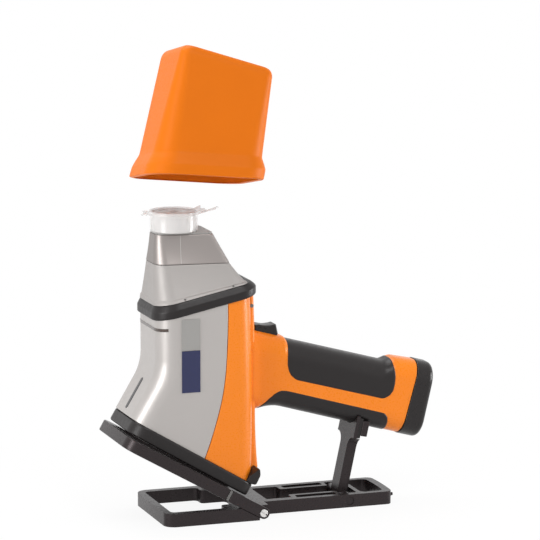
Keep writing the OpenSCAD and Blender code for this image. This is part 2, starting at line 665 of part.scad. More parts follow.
// Feet that carry the bezel's rear corners up beside the spine.
function heel_x(t) =
    let (a = front_pt(t), b = rear_pt(t), d = (b - a) / norm(b - a), n = [cos(display_tilt), -sin(display_tilt)])
    (-0.3 - (a - [bezel_x, bezel_z]) * n) / (d * n);
function heel_ring(t) =
    let (l = station_len(t), w = body_w / 2 + 0.2, r = rear_r + 0.2, x = heel_x(t))
    [for (q = concat(arc(x - 5, -(w + 1 - 5), 5, 280, 360), [[x, -spine_w / 2 - 6], [l + 0.2, -spine_w / 2 - 6]],
        arc(l - rear_r, -(w - r), r, 352, 292))) station_pt(t, q[0], q[1])];
module corner_feet() {
    ts = [1, 0.975, 0.955, 0.94];
    color(c_black) {
        loft([for (t = ts) heel_ring(t)]);
        mirror([0, 1, 0]) loft([for (t = ts) heel_ring(t)]);
    }
}
module housing_screws() {
    color(c_steel)
        for (s = [-1, 1])
            translate([rear_top_x + 3.4, s * (spine_w / 2 + 1.7), 183]) rotate([s * 90, 0, 0]) cylinder(r = 1.6, h = 0.7);
}

// ---- sample cup ----
cup_z = nose_z + face_t + 0.3;
module cup_body() {
    color(c_white) translate([cup_x, 0, cup_z]) rotate_extrude()
        polygon([[cup_r - cup_wall, 0], [cup_r, 0], [cup_r, cup_h - 2.2], [cup_r + 1.1, cup_h - 1.8],
            [cup_r + 1.1, cup_h], [cup_r - cup_wall, cup_h]]);
}
module cup_ring() {
    color(c_white) translate([cup_x, 0, cup_z + 0.3]) difference() {
        cylinder(r = cup_r - cup_wall - 0.1, h = cup_h - 2);
        translate([0, 0, -1]) cylinder(r = cup_r - 2 * cup_wall - 0.3, h = cup_h + 4);
    }
}
module cup_film() {
    color([0.9, 0.9, 0.92, 0.4]) translate([cup_x, 0, cup_z - 0.2]) cylinder(r = cup_r - 0.4, h = 0.18);
}
module sample_powder() {
    color([0.86, 0.76, 0.68]) translate([cup_x, 0, cup_z + 0.3])
        cylinder(r = cup_r - 2 * cup_wall - 0.4, h = cup_h - 3.4);
}

// ---- safety shield ----
lift_at = [-42.900, 10.317, 290.761];
lift_tilt = 14.1;
lift_back = 12;
lift_turn = 19;
skirt_l = band_r - band_l + 2 * (shield_gap + shield_wall) + 2;
skirt_w = band_w + 2 * (shield_gap + shield_wall);
// each entry: height, inset on the left, the right and the sides, share of the rim's slope, corner radii
shield_prof = [[0, 0.8, 0.8, 0.8, 1, 24, 20], [1, 0, 0, 0, 1, 24, 20], [9, 0.3, 0.3, 0.3, 1, 24, 20],
    [14.5, 1.9, 2.8, 2.4, 1, 22, 18], [20, 3.6, 5.4, 4.6, 1, 21, 17],
    [shield_h - 9, 3.9, 14, 8.2, 0, 9, 9], [shield_h - 3.5, 5.4, 15.4, 9.6, 0, 8, 8],
    [shield_h, 10, 20, 14, 0, 6, 6]];
function shield_rings(d) = [for (q = shield_prof)
    let (z = q[0] - (q[0] > shield_h / 2 ? d : 0), k = -skirt_l / 2, w = skirt_w / 2 - q[3] - d)
    [for (v = outline(k + q[1] + d, -k - q[2] - d, w, w, q[5] - d, q[6] - d)) [v[0], v[1], z + v[0] * tan(band_tilt) * q[4]]]];
module safety_shield() {
    color(c_orange) translate(lift_at)
        rotate(a = -lift_back, v = [cos(lift_turn), -sin(lift_turn), 0]) rotate([0, lift_tilt, 0])
        loft(concat(reversed(shield_rings(shield_wall)), shield_rings(0)));
}

base_frame();
hinge_pins();
leg_axle();
end_studs();
tilt_frame();
hinge_arms();
steel_keys();
prop_leg();
leg_pad();
leg_cheek();
front_shell();
rear_shell_right();
rear_shell_left();
handle_right();
handle_left();
upper_grip();
lower_grip();
nose_cone();
nose_plate();
nose_face();
window_film();
rubber_band();
display_bezel();
display_glass();
display_panel();
power_button();
trigger();
trigger_switch();
battery_cap();
battery_pack();
battery_contacts();
inner_chassis();
xray_tube();
high_voltage_supply();
detector();
main_board();
side_plate_upper();
side_plate_lower();
status_light();
front_slot();
corner_feet();
housing_screws();
cup_body();
cup_ring();
cup_film();
sample_powder();
safety_shield();
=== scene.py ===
"""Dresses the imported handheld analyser, its folding bench stand, the sample cup and the safety shield.

Laid out as an add-on: property groups hold the sizes and colours, one operator makes each piece or
group of like pieces, and a panel in the 3D view's sidebar lists them. Lengths inside the shape
functions are in millimetres in the part's own frame and are scaled once, when a mesh is made.
"""
import math

import bmesh
import bpy
import numpy as np
from bpy.props import FloatProperty, FloatVectorProperty, PointerProperty
from mathutils import Matrix, Vector


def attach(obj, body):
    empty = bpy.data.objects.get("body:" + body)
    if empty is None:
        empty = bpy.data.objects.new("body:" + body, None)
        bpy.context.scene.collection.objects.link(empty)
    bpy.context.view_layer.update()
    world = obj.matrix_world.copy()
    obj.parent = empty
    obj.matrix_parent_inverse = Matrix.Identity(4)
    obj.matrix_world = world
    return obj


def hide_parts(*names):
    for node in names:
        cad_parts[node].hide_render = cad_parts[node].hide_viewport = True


bl_info = {
    "name": "Bench stand analyser dressing",
    "version": (1, 0, 0),
    "blender": (4, 5, 0),
    "location": "View3D > Sidebar > Analyser",
    "description": "Makes the visible pieces of a handheld analyser in its bench stand",
    "category": "Object",
}

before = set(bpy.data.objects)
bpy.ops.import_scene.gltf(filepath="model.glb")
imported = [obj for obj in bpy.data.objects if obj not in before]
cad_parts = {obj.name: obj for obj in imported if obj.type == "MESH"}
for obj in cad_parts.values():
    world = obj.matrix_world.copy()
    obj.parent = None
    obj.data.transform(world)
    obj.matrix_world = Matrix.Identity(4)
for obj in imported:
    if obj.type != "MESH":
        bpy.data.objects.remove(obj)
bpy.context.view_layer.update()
MM = 0.001
# in metres: points nearer than this are one
WELD = 2e-6


# ---------------------------------------------------------------- settings
def colour(name, text, value):
    """A colour setting with its name, description and default."""
    return FloatVectorProperty(name=name, description=text, default=value, size=3, subtype="COLOR",
                               min=0, max=1)


def length(name, text, value):
    """A length setting in metres."""
    return FloatProperty(name=name, description=text, default=value, min=0, unit="LENGTH", precision=4)


def power(name, text, value):
    """A lamp's power setting in watts."""
    return FloatProperty(name=name, description=text, default=value, min=0, unit="POWER")


class HousingSettings(bpy.types.PropertyGroup):
    """Colours and small sizes of the analyser's housing, handle and nose."""
    silver: colour("Housing silver", "Colour of the painted front housing and nose cone", (0.44, 0.415, 0.40))
    orange: colour("Housing orange", "Colour of the side shells and the handle", (0.84, 0.215, 0.008))
    rubber: colour("Rubber", "Colour of the band, the grips and the display bezel", (0.013, 0.0105, 0.0105))
    nickel: colour("Nose plate", "Colour of the bare metal nose plate", (0.112, 0.101, 0.096))
    navy: colour("Lower name plate", "Colour of the lower plate on the side", (0.010, 0.012, 0.072))
    seam_edge: length("Seam edge", "Radius of the shells' edges along the seams", 0.0006)
    front_corner: length("Front corner", "Radius of the front housing's upright corners", 0.018)
    rear_corner: length("Rear corner", "Radius of the side shells' rear corners", 0.015)
    grip_proud: length("Grip height", "Height of the rubber grips over the handle", 0.0005)


class StandSettings(bpy.types.PropertyGroup):
    """Colours and edge sizes of the bench stand."""
    black: colour("Anodised black", "Colour of the stand's anodised metal", (0.030, 0.0235, 0.0245))
    steel: colour("Bright steel", "Colour of the hinge pins and the inner metal cases", (0.44, 0.42, 0.40))
    edge: length("Edge break", "Width of the broken edges", 0.0009)


class CupSettings(bpy.types.PropertyGroup):
    """Colours of the sample cup."""
    plastic: colour("Cup plastic", "Colour of the clear cup", (0.86, 0.84, 0.83))
    powder: colour("Sample", "Colour of the powder in the cup", (0.86, 0.81, 0.77))


class ShieldSettings(bpy.types.PropertyGroup):
    """Colour and wall of the lift-off shield."""
    orange: colour("Shield orange", "Colour of the moulded shield", (0.70, 0.158, 0.006))
    wall: length("Shield wall", "Thickness of the shield's wall", 0.003)


class StageSettings(bpy.types.PropertyGroup):
    """Floor and lamps."""
    floor: colour("Floor", "Colour of the floor", (0.9, 0.9, 0.9))
    key_power: power("Key lamp", "Power of the key lamp", 11.0)
    fill_power: power("Fill lamp", "Power of the fill lamp", 8.0)
    front_power: power("Front lamp", "Power of the small front lamp", 4.5)
    top_power: power("Top lamp", "Power of the overhead lamp", 8.0)


# ---------------------------------------------------------------- shape tools
# how a sheet closes on itself: (across its rows, along its columns)
OPEN, TUBE, RING = (False, False), (False, True), (True, True)


def per_row(*values):
    """Numbers and one-value-per-row arrays side by side: (rows, number of values)."""
    return np.stack(np.broadcast_arrays(*[np.atleast_1d(np.asarray(v, float)) for v in values]), 1)


def control_rows(*points):
    """Polylines (rows, points, 2) from points whose coordinates are numbers or one value per row."""
    flat = per_row(*[v for point in points for v in point])
    return flat.reshape(len(flat), -1, 2)


def rounded_path(ctrl, radii, arc=12, line=6):
    """Rows of rounded polylines. A row's corner i is replaced by the arc of its radius that touches both
    of its sides: centre on the bisector at r / sin(half angle), swept by spherical interpolation between
    the two touch points; straight stretches are cut evenly. ctrl is (rows, k, 2), radii (k,) or (rows, k)."""
    rows, k = ctrl.shape[:2]
    radii = np.broadcast_to(np.asarray(radii, float), (rows, k))
    out = [ctrl[:, :1]]
    for i in range(1, k):
        start = ctrl[:, i]
        piece = start[:, None]
        if i < k - 1:
            a, b = ctrl[:, i - 1] - start, ctrl[:, i + 1] - start
            la, lb = (np.linalg.norm(v, axis=1, keepdims=True) for v in (a, b))
            a, b = a / la, b / lb
            half = np.arccos(np.clip((a * b).sum(1), -0.999999, 0.999999)) / 2
            r = np.minimum(radii[:, i], np.minimum(la, lb)[:, 0] * 0.98 * np.tan(half))
            reach = (r / np.tan(half))[:, None]
            bisector = (a + b) / np.maximum(np.linalg.norm(a + b, axis=1, keepdims=True), 1e-9)
            centre = start + bisector * (r / np.sin(half))[:, None]
            start, end = start + a * reach, start + b * reach
            f = np.linspace(0, 1, arc + 1)[None, :, None]
            w = np.maximum(np.pi - 2 * half, 1e-6)[:, None, None]
            swept = np.sin((1 - f) * w) * (start - centre)[:, None] + np.sin(f * w) * (end - centre)[:, None]
            piece = centre[:, None] + swept / np.sin(w)
        f = np.linspace(0, 1, line + 1)[None, 1:-1, None]
        out += [out[-1][:, -1:] * (1 - f) + start[:, None] * f, piece]
    return np.concatenate(out, 1)


def mirrored(path):
    """A path that ends on the middle line, carried on by its mirror image in the second coordinate."""
    return np.concatenate([path, path[:, ::-1][:, 1:] * np.array([1, -1.0])], 1)


def plan_ring(xl, xr, wl, wr, rl, rr, arc=14, line=8):
    """Closed rings of a rounded four-sided plan: left end at xl with half-width wl and corner radius rl,
    right end at xr with wr and rr. Each argument is a number or one value per row."""
    ctrl = control_rows((xl, 0), (xl, -wl), (xr, -wr), (xr, 0))
    return mirrored(rounded_path(ctrl, per_row(0, rl, rr, 0), arc, line))[:, :-1]


def at_heights(plan, z):
    """Plan rows (rows, n, 2) put at heights z, given for each row or for each point."""
    z = np.asarray(z, float)
    return np.dstack([plan, np.broadcast_to(z if z.ndim == 2 else z[:, None], plan.shape[:2])])


def drawn_in(loop, middle, rows):
    """A flat loop (n, 2) drawn in to its middle in equal steps: (rows, n, 2)."""
    return middle + (loop - middle) * np.linspace(1, 0, rows)[:, None, None]


def carried_across(outlines, y, middle, fan_rows):
    """Outlines (rows, n, 2) in the upright middle plane put at the places y across it, one for each row,
    with the first and the last closed by drawing them in to the middle: the sheets of a closed solid."""
    sheets = []
    for flat, at in ((outlines, y), (drawn_in(outlines[0], middle, fan_rows), y[:1]),
                     (drawn_in(outlines[-1], middle, fan_rows), y[-1:])):
        across = np.broadcast_to(at[:, None], flat.shape[:2])
        sheets.append((np.stack([flat[..., 0], across, flat[..., 1]], -1), TUBE))
    return sheets


def run_along(points):
    """Length walked along a polyline up to each of its points."""
    return np.concatenate([[0], np.cumsum(np.linalg.norm(np.diff(points, axis=0), axis=1))])


def smooth_step(x):
    """3x^2 - 2x^3 of x held between 0 and 1."""
    x = np.clip(x, 0, 1)
    return x * x * (3 - 2 * x)


def turned(points, angle, about):
    """Points in the XZ plane, given as (along, across, up), turned clockwise by an angle in degrees as seen
    from -Y about the place (x, z), as the frame's +Y rotation does."""
    c, s = math.cos(math.radians(angle)), math.sin(math.radians(angle))
    u, v, w = np.moveaxis(points, -1, 0)
    return np.stack([about[0] + u * c + w * s, v, about[1] - u * s + w * c], -1)


def lathe(profile, x, base, steps=72):
    """A profile of (radius, height over the base) turned once round the upright line at x on the middle
    plane."""
    a = np.linspace(0, 2 * np.pi, steps, endpoint=False)
    r, h = np.asarray(profile, float).T[..., None]
    return np.stack([x + r * np.cos(a), r * np.sin(a), h + base + 0 * a], -1)


def grid_faces(rows, cols, wrap_rows, wrap_cols):
    """Quads of a grid of points numbered row by row; a wrapped side joins its last line to its first."""
    i = np.arange(rows if wrap_rows else rows - 1)[:, None]
    j = np.arange(cols if wrap_cols else cols - 1)[None, :]
    ahead, aside = (i + 1) % rows * cols, (j + 1) % cols
    return np.stack([i * cols + j, i * cols + aside, ahead + aside, ahead + j], -1).reshape(-1, 4)


def sheet_mesh(name, sheets, outward=True, flat_levels=()):
    """A mesh from sheets, each (points (m, n, 3) in millimetres, how it closes). Doubled points are welded,
    the loops left open at each level over the display's face are filled flat, and normals point outwards."""
    verts, faces, start = [], [], 0
    for points, wraps in sheets:
        verts.append(points.reshape(-1, 3))
        faces.append(grid_faces(*points.shape[:2], *wraps) + start)
        start += len(verts[-1])
    mesh = bpy.data.meshes.new(name)
    mesh.from_pydata((np.concatenate(verts) * MM).tolist(), [], np.concatenate(faces).tolist())
    bm = bmesh.new()
    bm.from_mesh(mesh)
    bmesh.ops.remove_doubles(bm, verts=bm.verts, dist=WELD)
    bmesh.ops.dissolve_degenerate(bm, edges=bm.edges, dist=1e-7)
    for level in flat_levels:
        rim = [e for e in bm.edges if e.is_boundary
               and all(abs(display_level(v.co.x / MM, v.co.z / MM) - level) < 0.01 for v in e.verts)]
        bmesh.ops.triangle_fill(bm, edges=rim, use_beauty=True)
    if outward:
        bmesh.ops.recalc_face_normals(bm, faces=bm.faces)
    bm.to_mesh(mesh)
    bm.free()
    return mesh


def settle(name, mesh, body, finish, stands_for=(), sharp=38.0):
    """Links a mesh as a piece, gives it its finish, shades it smooth up to an angle in degrees and puts it
    on its body."""
    mesh.validate()
    mesh.shade_smooth()
    mesh.set_sharp_from_angle(angle=math.radians(sharp))
    put_finish(mesh, finish)
    piece = bpy.data.objects.new(name, mesh)
    bpy.context.scene.collection.objects.link(piece)
    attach(piece, body)
    if stands_for:
        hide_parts(*stands_for)
    return piece


def make_piece(name, body, finish, sheets, stands_for=(), outward=True):
    """One piece from sheets, on its body, in place of the CAD nodes that it stands for."""
    return settle(name, sheet_mesh(name, sheets, outward), body, finish, stands_for)


def dressed_copy(name, node, body, finish, edge):
    """A welded copy of a machined CAD node with its edges broken by a Bevel of the given width."""
    bm = bmesh.new()
    bm.from_mesh(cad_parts[node].data)
    bmesh.ops.remove_doubles(bm, verts=bm.verts, dist=WELD)
    bmesh.ops.dissolve_limit(bm, angle_limit=math.radians(1.0), verts=bm.verts, edges=bm.edges)
    mesh = bpy.data.meshes.new(name)
    bm.to_mesh(mesh)
    bm.free()
    bevel = settle(name, mesh, body, finish, (node,), sharp=34.0).modifiers.new("Broken edges", "BEVEL")
    bevel.width = edge
    bevel.segments = 2
    bevel.limit_method = "ANGLE"
    bevel.angle_limit = math.radians(32)
    bevel.harden_normals = True
    bevel.use_clamp_overlap = True


# ---------------------------------------------------------------- materials
def add_node(tree, kind, inputs=None, **attributes):
    """A shader node with its attributes; an input gets a plain value or, given a socket, a link from it."""
    node = tree.nodes.new("ShaderNode" + kind)
    for name, value in attributes.items():
        setattr(node, name, value)
    for name, value in (inputs or {}).items():
        if isinstance(value, bpy.types.NodeSocket):
            tree.links.new(value, node.inputs[name])
        else:
            node.inputs[name].default_value = value
    return node


def shared_group(name, inputs, outputs, fill):
    """The shader node group of that name. On first use it gets a Vector socket, number sockets with their
    defaults and number outputs, and fill makes its nodes and gives the socket for each output."""
    tree = bpy.data.node_groups.get(name)
    if tree is None:
        tree = bpy.data.node_groups.new(name, "ShaderNodeTree")
        tree.interface.new_socket(name="Vector", in_out="INPUT", socket_type="NodeSocketVector")
        for label, value in inputs.items():
            socket = tree.interface.new_socket(name=label, in_out="INPUT", socket_type="NodeSocketFloat")
            socket.default_value = value
        for label in outputs:
            tree.interface.new_socket(name=label, in_out="OUTPUT", socket_type="NodeSocketFloat")
        given, results = tree.nodes.new("NodeGroupInput"), tree.nodes.new("NodeGroupOutput")
        for label, socket in zip(outputs, fill(tree, given.outputs)):
            tree.links.new(socket, results.inputs[label])
    return tree


def fill_grain(tree, given):
    """Moulded or sprayed grain: two sizes of noise, mixed, give the height; the coarse one masks the
    roughness and a slow one the colour."""
    sizes = ((given["Fine scale"], 3.0), (given["Coarse scale"], 4.0), (14.0, 2.0))
    fine, coarse, slow = (
        add_node(tree, "TexNoise", {"Vector": given["Vector"], "Scale": scale, "Detail": detail}).outputs[0]
        for scale, detail in sizes)
    height = add_node(tree, "Mix", {"Factor": given["Coarse share"], "A": fine, "B": coarse})
    return height.outputs["Result"], coarse, slow


def fill_brushing(tree, given):
    """Fine straight brushing along the upright axis: noise stretched by a mapping gives height and mask."""
    stretch = add_node(tree, "Mapping", {"Vector": given["Vector"], "Scale": (0.04, 0.04, 1.0)})
    lines = add_node(tree, "TexNoise", {"Vector": stretch.outputs[0], "Scale": given["Scale"], "Detail": 5.0})
    return lines.outputs[0], lines.outputs[0]


def new_material(name, base, rough, metal=0.0, coat=0.0, coat_rough=0.2, specular=0.5, alpha=1.0):
    """A Principled material with its plain values on the shader's own sockets, and its shader."""
    mat = bpy.data.materials.new(name)
    mat.use_nodes = True
    mat.node_tree.nodes.clear()
    shader = add_node(mat.node_tree, "BsdfPrincipled", {
        "Base Color": (*base, 1), "Roughness": rough, "Metallic": metal, "Coat Weight": coat,
        "Coat Roughness": coat_rough, "Specular IOR Level": specular, "Alpha": alpha})
    add_node(mat.node_tree, "OutputMaterial", {"Surface": shader.outputs[0]})
    return mat, shader


def add_relief(tree, shader, group, depth, distance):
    """Bumps the shader's normal by a group's height."""
    height = group.outputs["Height"]
    bump = add_node(tree, "Bump", {"Strength": depth, "Distance": distance, "Height": height})
    tree.links.new(bump.outputs[0], shader.inputs["Normal"])


def add_grain(tree, shader, base, rough, swing, depth, tint, sizes):
    """Puts the grain group on a material: bump, a swing of the roughness over the middle of the noise's
    range, and a slow mix from a darker to a lighter tint of the colour."""
    where = add_node(tree, "TexCoord")
    group = add_node(tree, "Group", node_tree=shared_group(
        "Surface grain", {"Fine scale": 1800.0, "Coarse scale": 60.0, "Coarse share": 0.3},
        ("Height", "Rough mask", "Slow mask"), fill_grain))
    tree.links.new(where.outputs["Object"], group.inputs["Vector"])
    for label, value in zip(("Fine scale", "Coarse scale", "Coarse share"), sizes):
        group.inputs[label].default_value = value
    add_relief(tree, shader, group, depth, 0.0002)
    gloss = add_node(tree, "MapRange", {
        "Value": group.outputs["Rough mask"], "From Min": 0.3, "From Max": 0.7,
        "To Min": max(0.02, rough - swing), "To Max": min(1.0, rough + swing)})
    tree.links.new(gloss.outputs[0], shader.inputs["Roughness"])
    dark, light = ([min(1, v * level) for v in base] for level in (1 - tint, 1 + tint))
    tone = add_node(tree, "Mix", {"Factor": group.outputs["Slow mask"], "A": (*dark, 1), "B": (*light, 1)},
                    data_type="RGBA")
    tree.links.new(tone.outputs["Result"], shader.inputs["Base Color"])


def add_brushing(tree, shader, rough, swing, depth, scale):
    """Puts the brushing group on a metal: bump and roughness lines."""
    where = add_node(tree, "TexCoord")
    group = add_node(tree, "Group", node_tree=shared_group(
        "Brushed lines", {"Scale": 400.0}, ("Height", "Mask"), fill_brushing))
    tree.links.new(where.outputs["Object"], group.inputs["Vector"])
    group.inputs["Scale"].default_value = scale
    add_relief(tree, shader, group, depth, 0.0001)
    gloss = add_node(tree, "MapRange", {"Value": group.outputs["Mask"], "To Min": max(0.03, rough - swing),
                                        "To Max": rough + swing})
    tree.links.new(gloss.outputs[0], shader.inputs["Roughness"])


def grained(slot, base, rough, swing, depth, tint, sizes, shade=1.0, **shader):
    """A finish with grain: its slot, which nothing uses, its colour, roughness with its swing, bump depth,
    tint, the grain's fine scale, coarse scale and coarse share, and the shade that the colour is multiplied
    by."""
    grain = dict(swing=swing, depth=depth, tint=tint, sizes=sizes)
    return dict(slot=slot, base=base, rough=rough, shade=shade, grain=grain, shader=shader)


def brushed(slot, base, rough, swing, depth, scale, **shader):
    """A finish with brushing: its slot, which nothing uses, its colour, roughness with its swing, bump depth
    and line scale.
    """
    brushing = dict(swing=swing, depth=depth, scale=scale)
    return dict(slot=slot, base=base, rough=rough, shade=1.0, brushing=brushing, shader=shader)


# A colour is written out, or named as GROUP.SETTING. A finish for CAD nodes alone has no slot.
PAINT_GRAIN, LENS_GRAIN, INNER_GRAIN = (2600, 220, 0.25), (1500, 90, 0.3), (900, 120, 0.4)
FINISHES = {
    "silver_paint": grained("housing_silver", "housing.silver", 0.36, swing=0.04, depth=0.05, tint=0.03,
                            sizes=PAINT_GRAIN, metal=0.45, coat=0.08, specular=0.3),
    # painted shade: the nose cone is the housing's silver paint darkened to 0.8, for the lamp light that it
    # gets less of than the housing
    "cone_paint": grained("housing_silver", "housing.silver", 0.5, swing=0.04, depth=0.05, tint=0.03,
                          sizes=PAINT_GRAIN, shade=0.8, metal=0.3, specular=0.3),
    "orange_moulding": grained("housing_orange", "housing.orange", 0.28, swing=0.015, depth=0.02, tint=0.02,
                               sizes=(2600, 700, 0.2), specular=0.32),
    "black_rubber": grained("rubber_black", "housing.rubber", 0.38, swing=0.06, depth=0.12, tint=0.12,
                            sizes=(2400, 260, 0.35), specular=0.3),
    "black_plastic": grained("plastic_black", "housing.rubber", 0.3, swing=0.06, depth=0.08, tint=0.12,
                             sizes=(2600, 200, 0.2), specular=0.32),
    "nose_nickel": brushed("nose_nickel", "housing.nickel", 0.22, swing=0.06, depth=0.04, scale=900,
                           metal=0.85),
    "grey_plate": brushed("nose_nickel", (0.34, 0.325, 0.31), 0.28, swing=0.08, depth=0.05, scale=1400,
                          metal=0.8),
    "navy_plate": grained(None, "housing.navy", 0.25, swing=0.04, depth=0.02, tint=0.1, sizes=LENS_GRAIN,
                          specular=0.12),
    "black_anodised": grained("stand_black", "stand.black", 0.3, swing=0.06, depth=0.06, tint=0.12,
                              sizes=(3000, 400, 0.3), metal=0.5, specular=0.3),
    "bright_steel": brushed("bright_steel", "stand.steel", 0.26, swing=0.08, depth=0.06, scale=1600,
                            metal=1.0),
    "dark_steel": brushed("bright_steel", (0.16, 0.155, 0.15), 0.3, swing=0.08, depth=0.06, scale=1600,
                          metal=0.9),
    "cup_plastic": grained("cup_clear", "cup.plastic", 0.16, swing=0.06, depth=0.03, tint=0.04,
                           sizes=(300, 60, 0.5), alpha=0.42, coat=0.4, coat_rough=0.05),
    "cup_film": grained("cup_clear", (0.8, 0.79, 0.78), 0.12, swing=0.06, depth=0.3, tint=0.04,
                        sizes=(700, 120, 0.6), alpha=0.3),
    "sample_powder": grained("sample", "cup.powder", 0.9, swing=0.05, depth=0.5, tint=0.1,
                             sizes=(1500, 300, 0.4)),
    "shield_moulding": grained("shield_orange", "shield.orange", 0.42, swing=0.08, depth=0.4, tint=0.05,
                               sizes=(1500, 700, 0.5), specular=0.1),
    "display_glass": grained(None, (0.008, 0.009, 0.012), 0.06, swing=0.02, depth=0.01, tint=0.2,
                             sizes=(400, 40, 0.5), coat=1.0, coat_rough=0.03),
    "window_gold": brushed(None, (0.62, 0.42, 0.17), 0.25, swing=0.06, depth=0.05, scale=900, metal=0.9),
    "dark_slot": grained("plastic_black", (0.012, 0.011, 0.012), 0.3, swing=0.04, depth=0.04, tint=0.1,
                         sizes=LENS_GRAIN, coat=0.3, coat_rough=0.1),
    "status_lens": grained(None, (0.045, 0.026, 0.018), 0.15, swing=0.04, depth=0.03, tint=0.2,
                           sizes=LENS_GRAIN, coat=0.6, coat_rough=0.06),
    "board_green": grained(None, (0.02, 0.12, 0.05), 0.4, swing=0.06, depth=0.1, tint=0.2, sizes=INNER_GRAIN),
    "inner_grey": grained(None, (0.28, 0.27, 0.26), 0.45, swing=0.06, depth=0.1, tint=0.1, sizes=INNER_GRAIN),
}


def finish_of(key):
    """The material for one of the object's finishes, built on first use."""
    if key in bpy.data.materials:
        return bpy.data.materials[key]
    finish = FINISHES[key]
    base, rough = finish["base"], finish["rough"]
    if isinstance(base, str):
        group, name = base.split(".")
        base = getattr(getattr(bpy.context.scene, "analyser_" + group), name)
    # a finish's shade darkens its colour: painted shade on the nose cone, 1 on the rest
    base = tuple(finish["shade"] * v for v in base)
    mat, shader = new_material(key, base, rough, **finish["shader"])
    if "grain" in finish:
        add_grain(mat.node_tree, shader, base, rough, **finish["grain"])
    else:
        add_brushing(mat.node_tree, shader, rough, **finish["brushing"])
    return mat


def put_finish(mesh, finish):
    """Gives a mesh one finish alone."""
    mesh.materials.clear()
    mesh.materials.append(finish_of(finish))


# ---------------------------------------------------------------- sizes, in millimetres and degrees
BODY_W, DISPLAY_TILT, BAND_TILT = 74.4, 31.0, 12.0
SEAM_GAP, SEAM_LIP, RUNNING_GAP = 0.25, 2.2, 0.1
BEZEL_AT, BEZEL_LEN, BEZEL_T, BEZEL_W = (-11.2, 18.8), 123.0, 11.5, 79.0
FRONT_X, BEND_R, BEND_Z = -89.5, 45.0, 130.4
BAND_X, BAND_Z, BAND_H = -47.5, 185.3, 12.0
BAND_L, BAND_R, BAND_W = -92.3, -0.4, 77.6
REAR_TOP_X, REAR_LOW_X, REAR_BOW = -5.8, -5.4, 6.4
SPINE_W, SPINE_H = 38.0, 6.0
NOSE_Z, PLATE_Z, CUP_X, CUP_R = 247.5, 222.5, -65.7, 20.6
CUP_Z = NOSE_Z + 1.7
HANDLE_AT, HANDLE_TILT, HANDLE_W, HALF_D = (34.2, 118.4), 15.5, 39.0, 28.75
HANDLE_LEN, HANDLE_R, HANDLE_START, HANDLE_EDGE = 114.0, 16.0, -54.0, 0.6
CAP_LEN, CAP_GAP, CAP_GROW = 17.6, 0.4, 0.5
LIFT_AT, LIFT_TILT, LIFT_BACK, LIFT_TURN = (-42.9, 10.317, 290.761), 14.1, 12.0, 19.0
BASE_T, PIN_Y, PIN_R, PIN_SLOT_TURN = 11.5, 46.4, 3.6, 55.0
SIN_D, COS_D = math.sin(math.radians(DISPLAY_TILT)), math.cos(math.radians(DISPLAY_TILT))
TAN_B = math.tan(math.radians(BAND_TILT))
BAND_RISE = BAND_H / math.cos(math.radians(BAND_TILT))

# a grip's end curve: height over the handle's axis and place along it
UPPER_ENDS = (
    ((-2.6, 8.0), (-1.5, 3.4), (1.0, -1.4), (4.0, -4.2), (9.0, -6.8), (15.0, -8.3), (22.0, -9.2),
     (HALF_D, -9.6)),
    ((-2.6, 86.0), (-1.5, 90.5), (1.0, 94.6), (4.0, 96.4), (8.0, 96.4), (14.0, 95.0), (22.0, 92.4),
     (HALF_D, 90.8)))
LOWER_ENDS = (((12.6, -4.0), (13.6, -8.0), (16.0, -11.8), (20.0, -15.2), (25.0, -18.5), (HALF_D, -20.0)),
              ((12.6, 90.0), (13.6, 94.5), (16.0, 97.5), (20.0, 99.2), (25.0, 100.4), (HALF_D, 101.0)))

# the shield's wall: height, left, right and side insets, share of the rim's slope, left and right radii
SHIELD_WALL = (
    (0, 0.9, 0.9, 0.9, 1, 24, 20), (0.3, 0.35, 0.35, 0.35, 1, 24, 20), (1.0, 0, 0, 0, 1, 24, 20),
    (5, 0.1, 0.1, 0.1, 1, 24, 20), (8.6, 0.25, 0.25, 0.25, 1, 24, 20), (9.8, 0.5, 0.6, 0.55, 1, 23.6, 19.6),
    (14.5, 1.9, 2.8, 2.4, 1, 22, 18), (18.6, 3.2, 4.8, 4.1, 1, 21.3, 17.3), (20, 3.5, 5.3, 4.5, 1, 21, 17),
    (22, 3.6, 5.6, 4.7, 0.97, 20.7, 16.8), (96, 3.9, 14, 8.2, 0, 9, 9))
SKIRT_ROWS, SHIELD_SHOULDER = 10, 96


# ---------------------------------------------------------------- housing geometry
def band_low(x):
    """Height of the band's lower edge: a plane that rises at the band's slope."""
    return BAND_Z + (x - BAND_X) * TAN_B


def display_level(x, z):
    """Distance of a point of the middle plane above the display's outer face."""
    return (x - BEZEL_AT[0]) * SIN_D + (z - BEZEL_AT[1]) * COS_D


def front_line(t):
    """The front of the housing for shares t from band to display: upright, then an arc, then square to the
    display, walked at equal steps of length."""
    top, tilt = band_low(FRONT_X), math.radians(DISPLAY_TILT)
    bend = BEND_Z + BEND_R * math.tan(tilt / 2)
    upright, arc = top - bend, BEND_R * tilt
    last = display_level(FRONT_X - BEND_R * (1 - COS_D), bend - BEND_R * SIN_D) - BEZEL_T - RUNNING_GAP
    s = np.asarray(t, float) * (upright + arc + last)
    q = np.clip((s - upright) / BEND_R, 0, tilt)
    rest = np.maximum(s - upright - arc, 0)
    x = FRONT_X - BEND_R * (1 - np.cos(q)) - rest * SIN_D
    z = top - np.minimum(s, upright) - BEND_R * np.sin(q) - rest * COS_D
    return np.stack([x, z], -1)


def rear_line(t):
    """The rear wall for the same shares: nearly upright with a slight bow, a parabola."""
    t = np.asarray(t, float)
    top = band_low(REAR_TOP_X)
    low = BEZEL_AT[1] + (BEZEL_T + RUNNING_GAP - (REAR_LOW_X - BEZEL_AT[0]) * SIN_D) / COS_D
    x = REAR_TOP_X + (REAR_LOW_X - REAR_TOP_X) * t + REAR_BOW * t * (1 - t)
    return np.stack([x, top + (low - top) * t], -1)


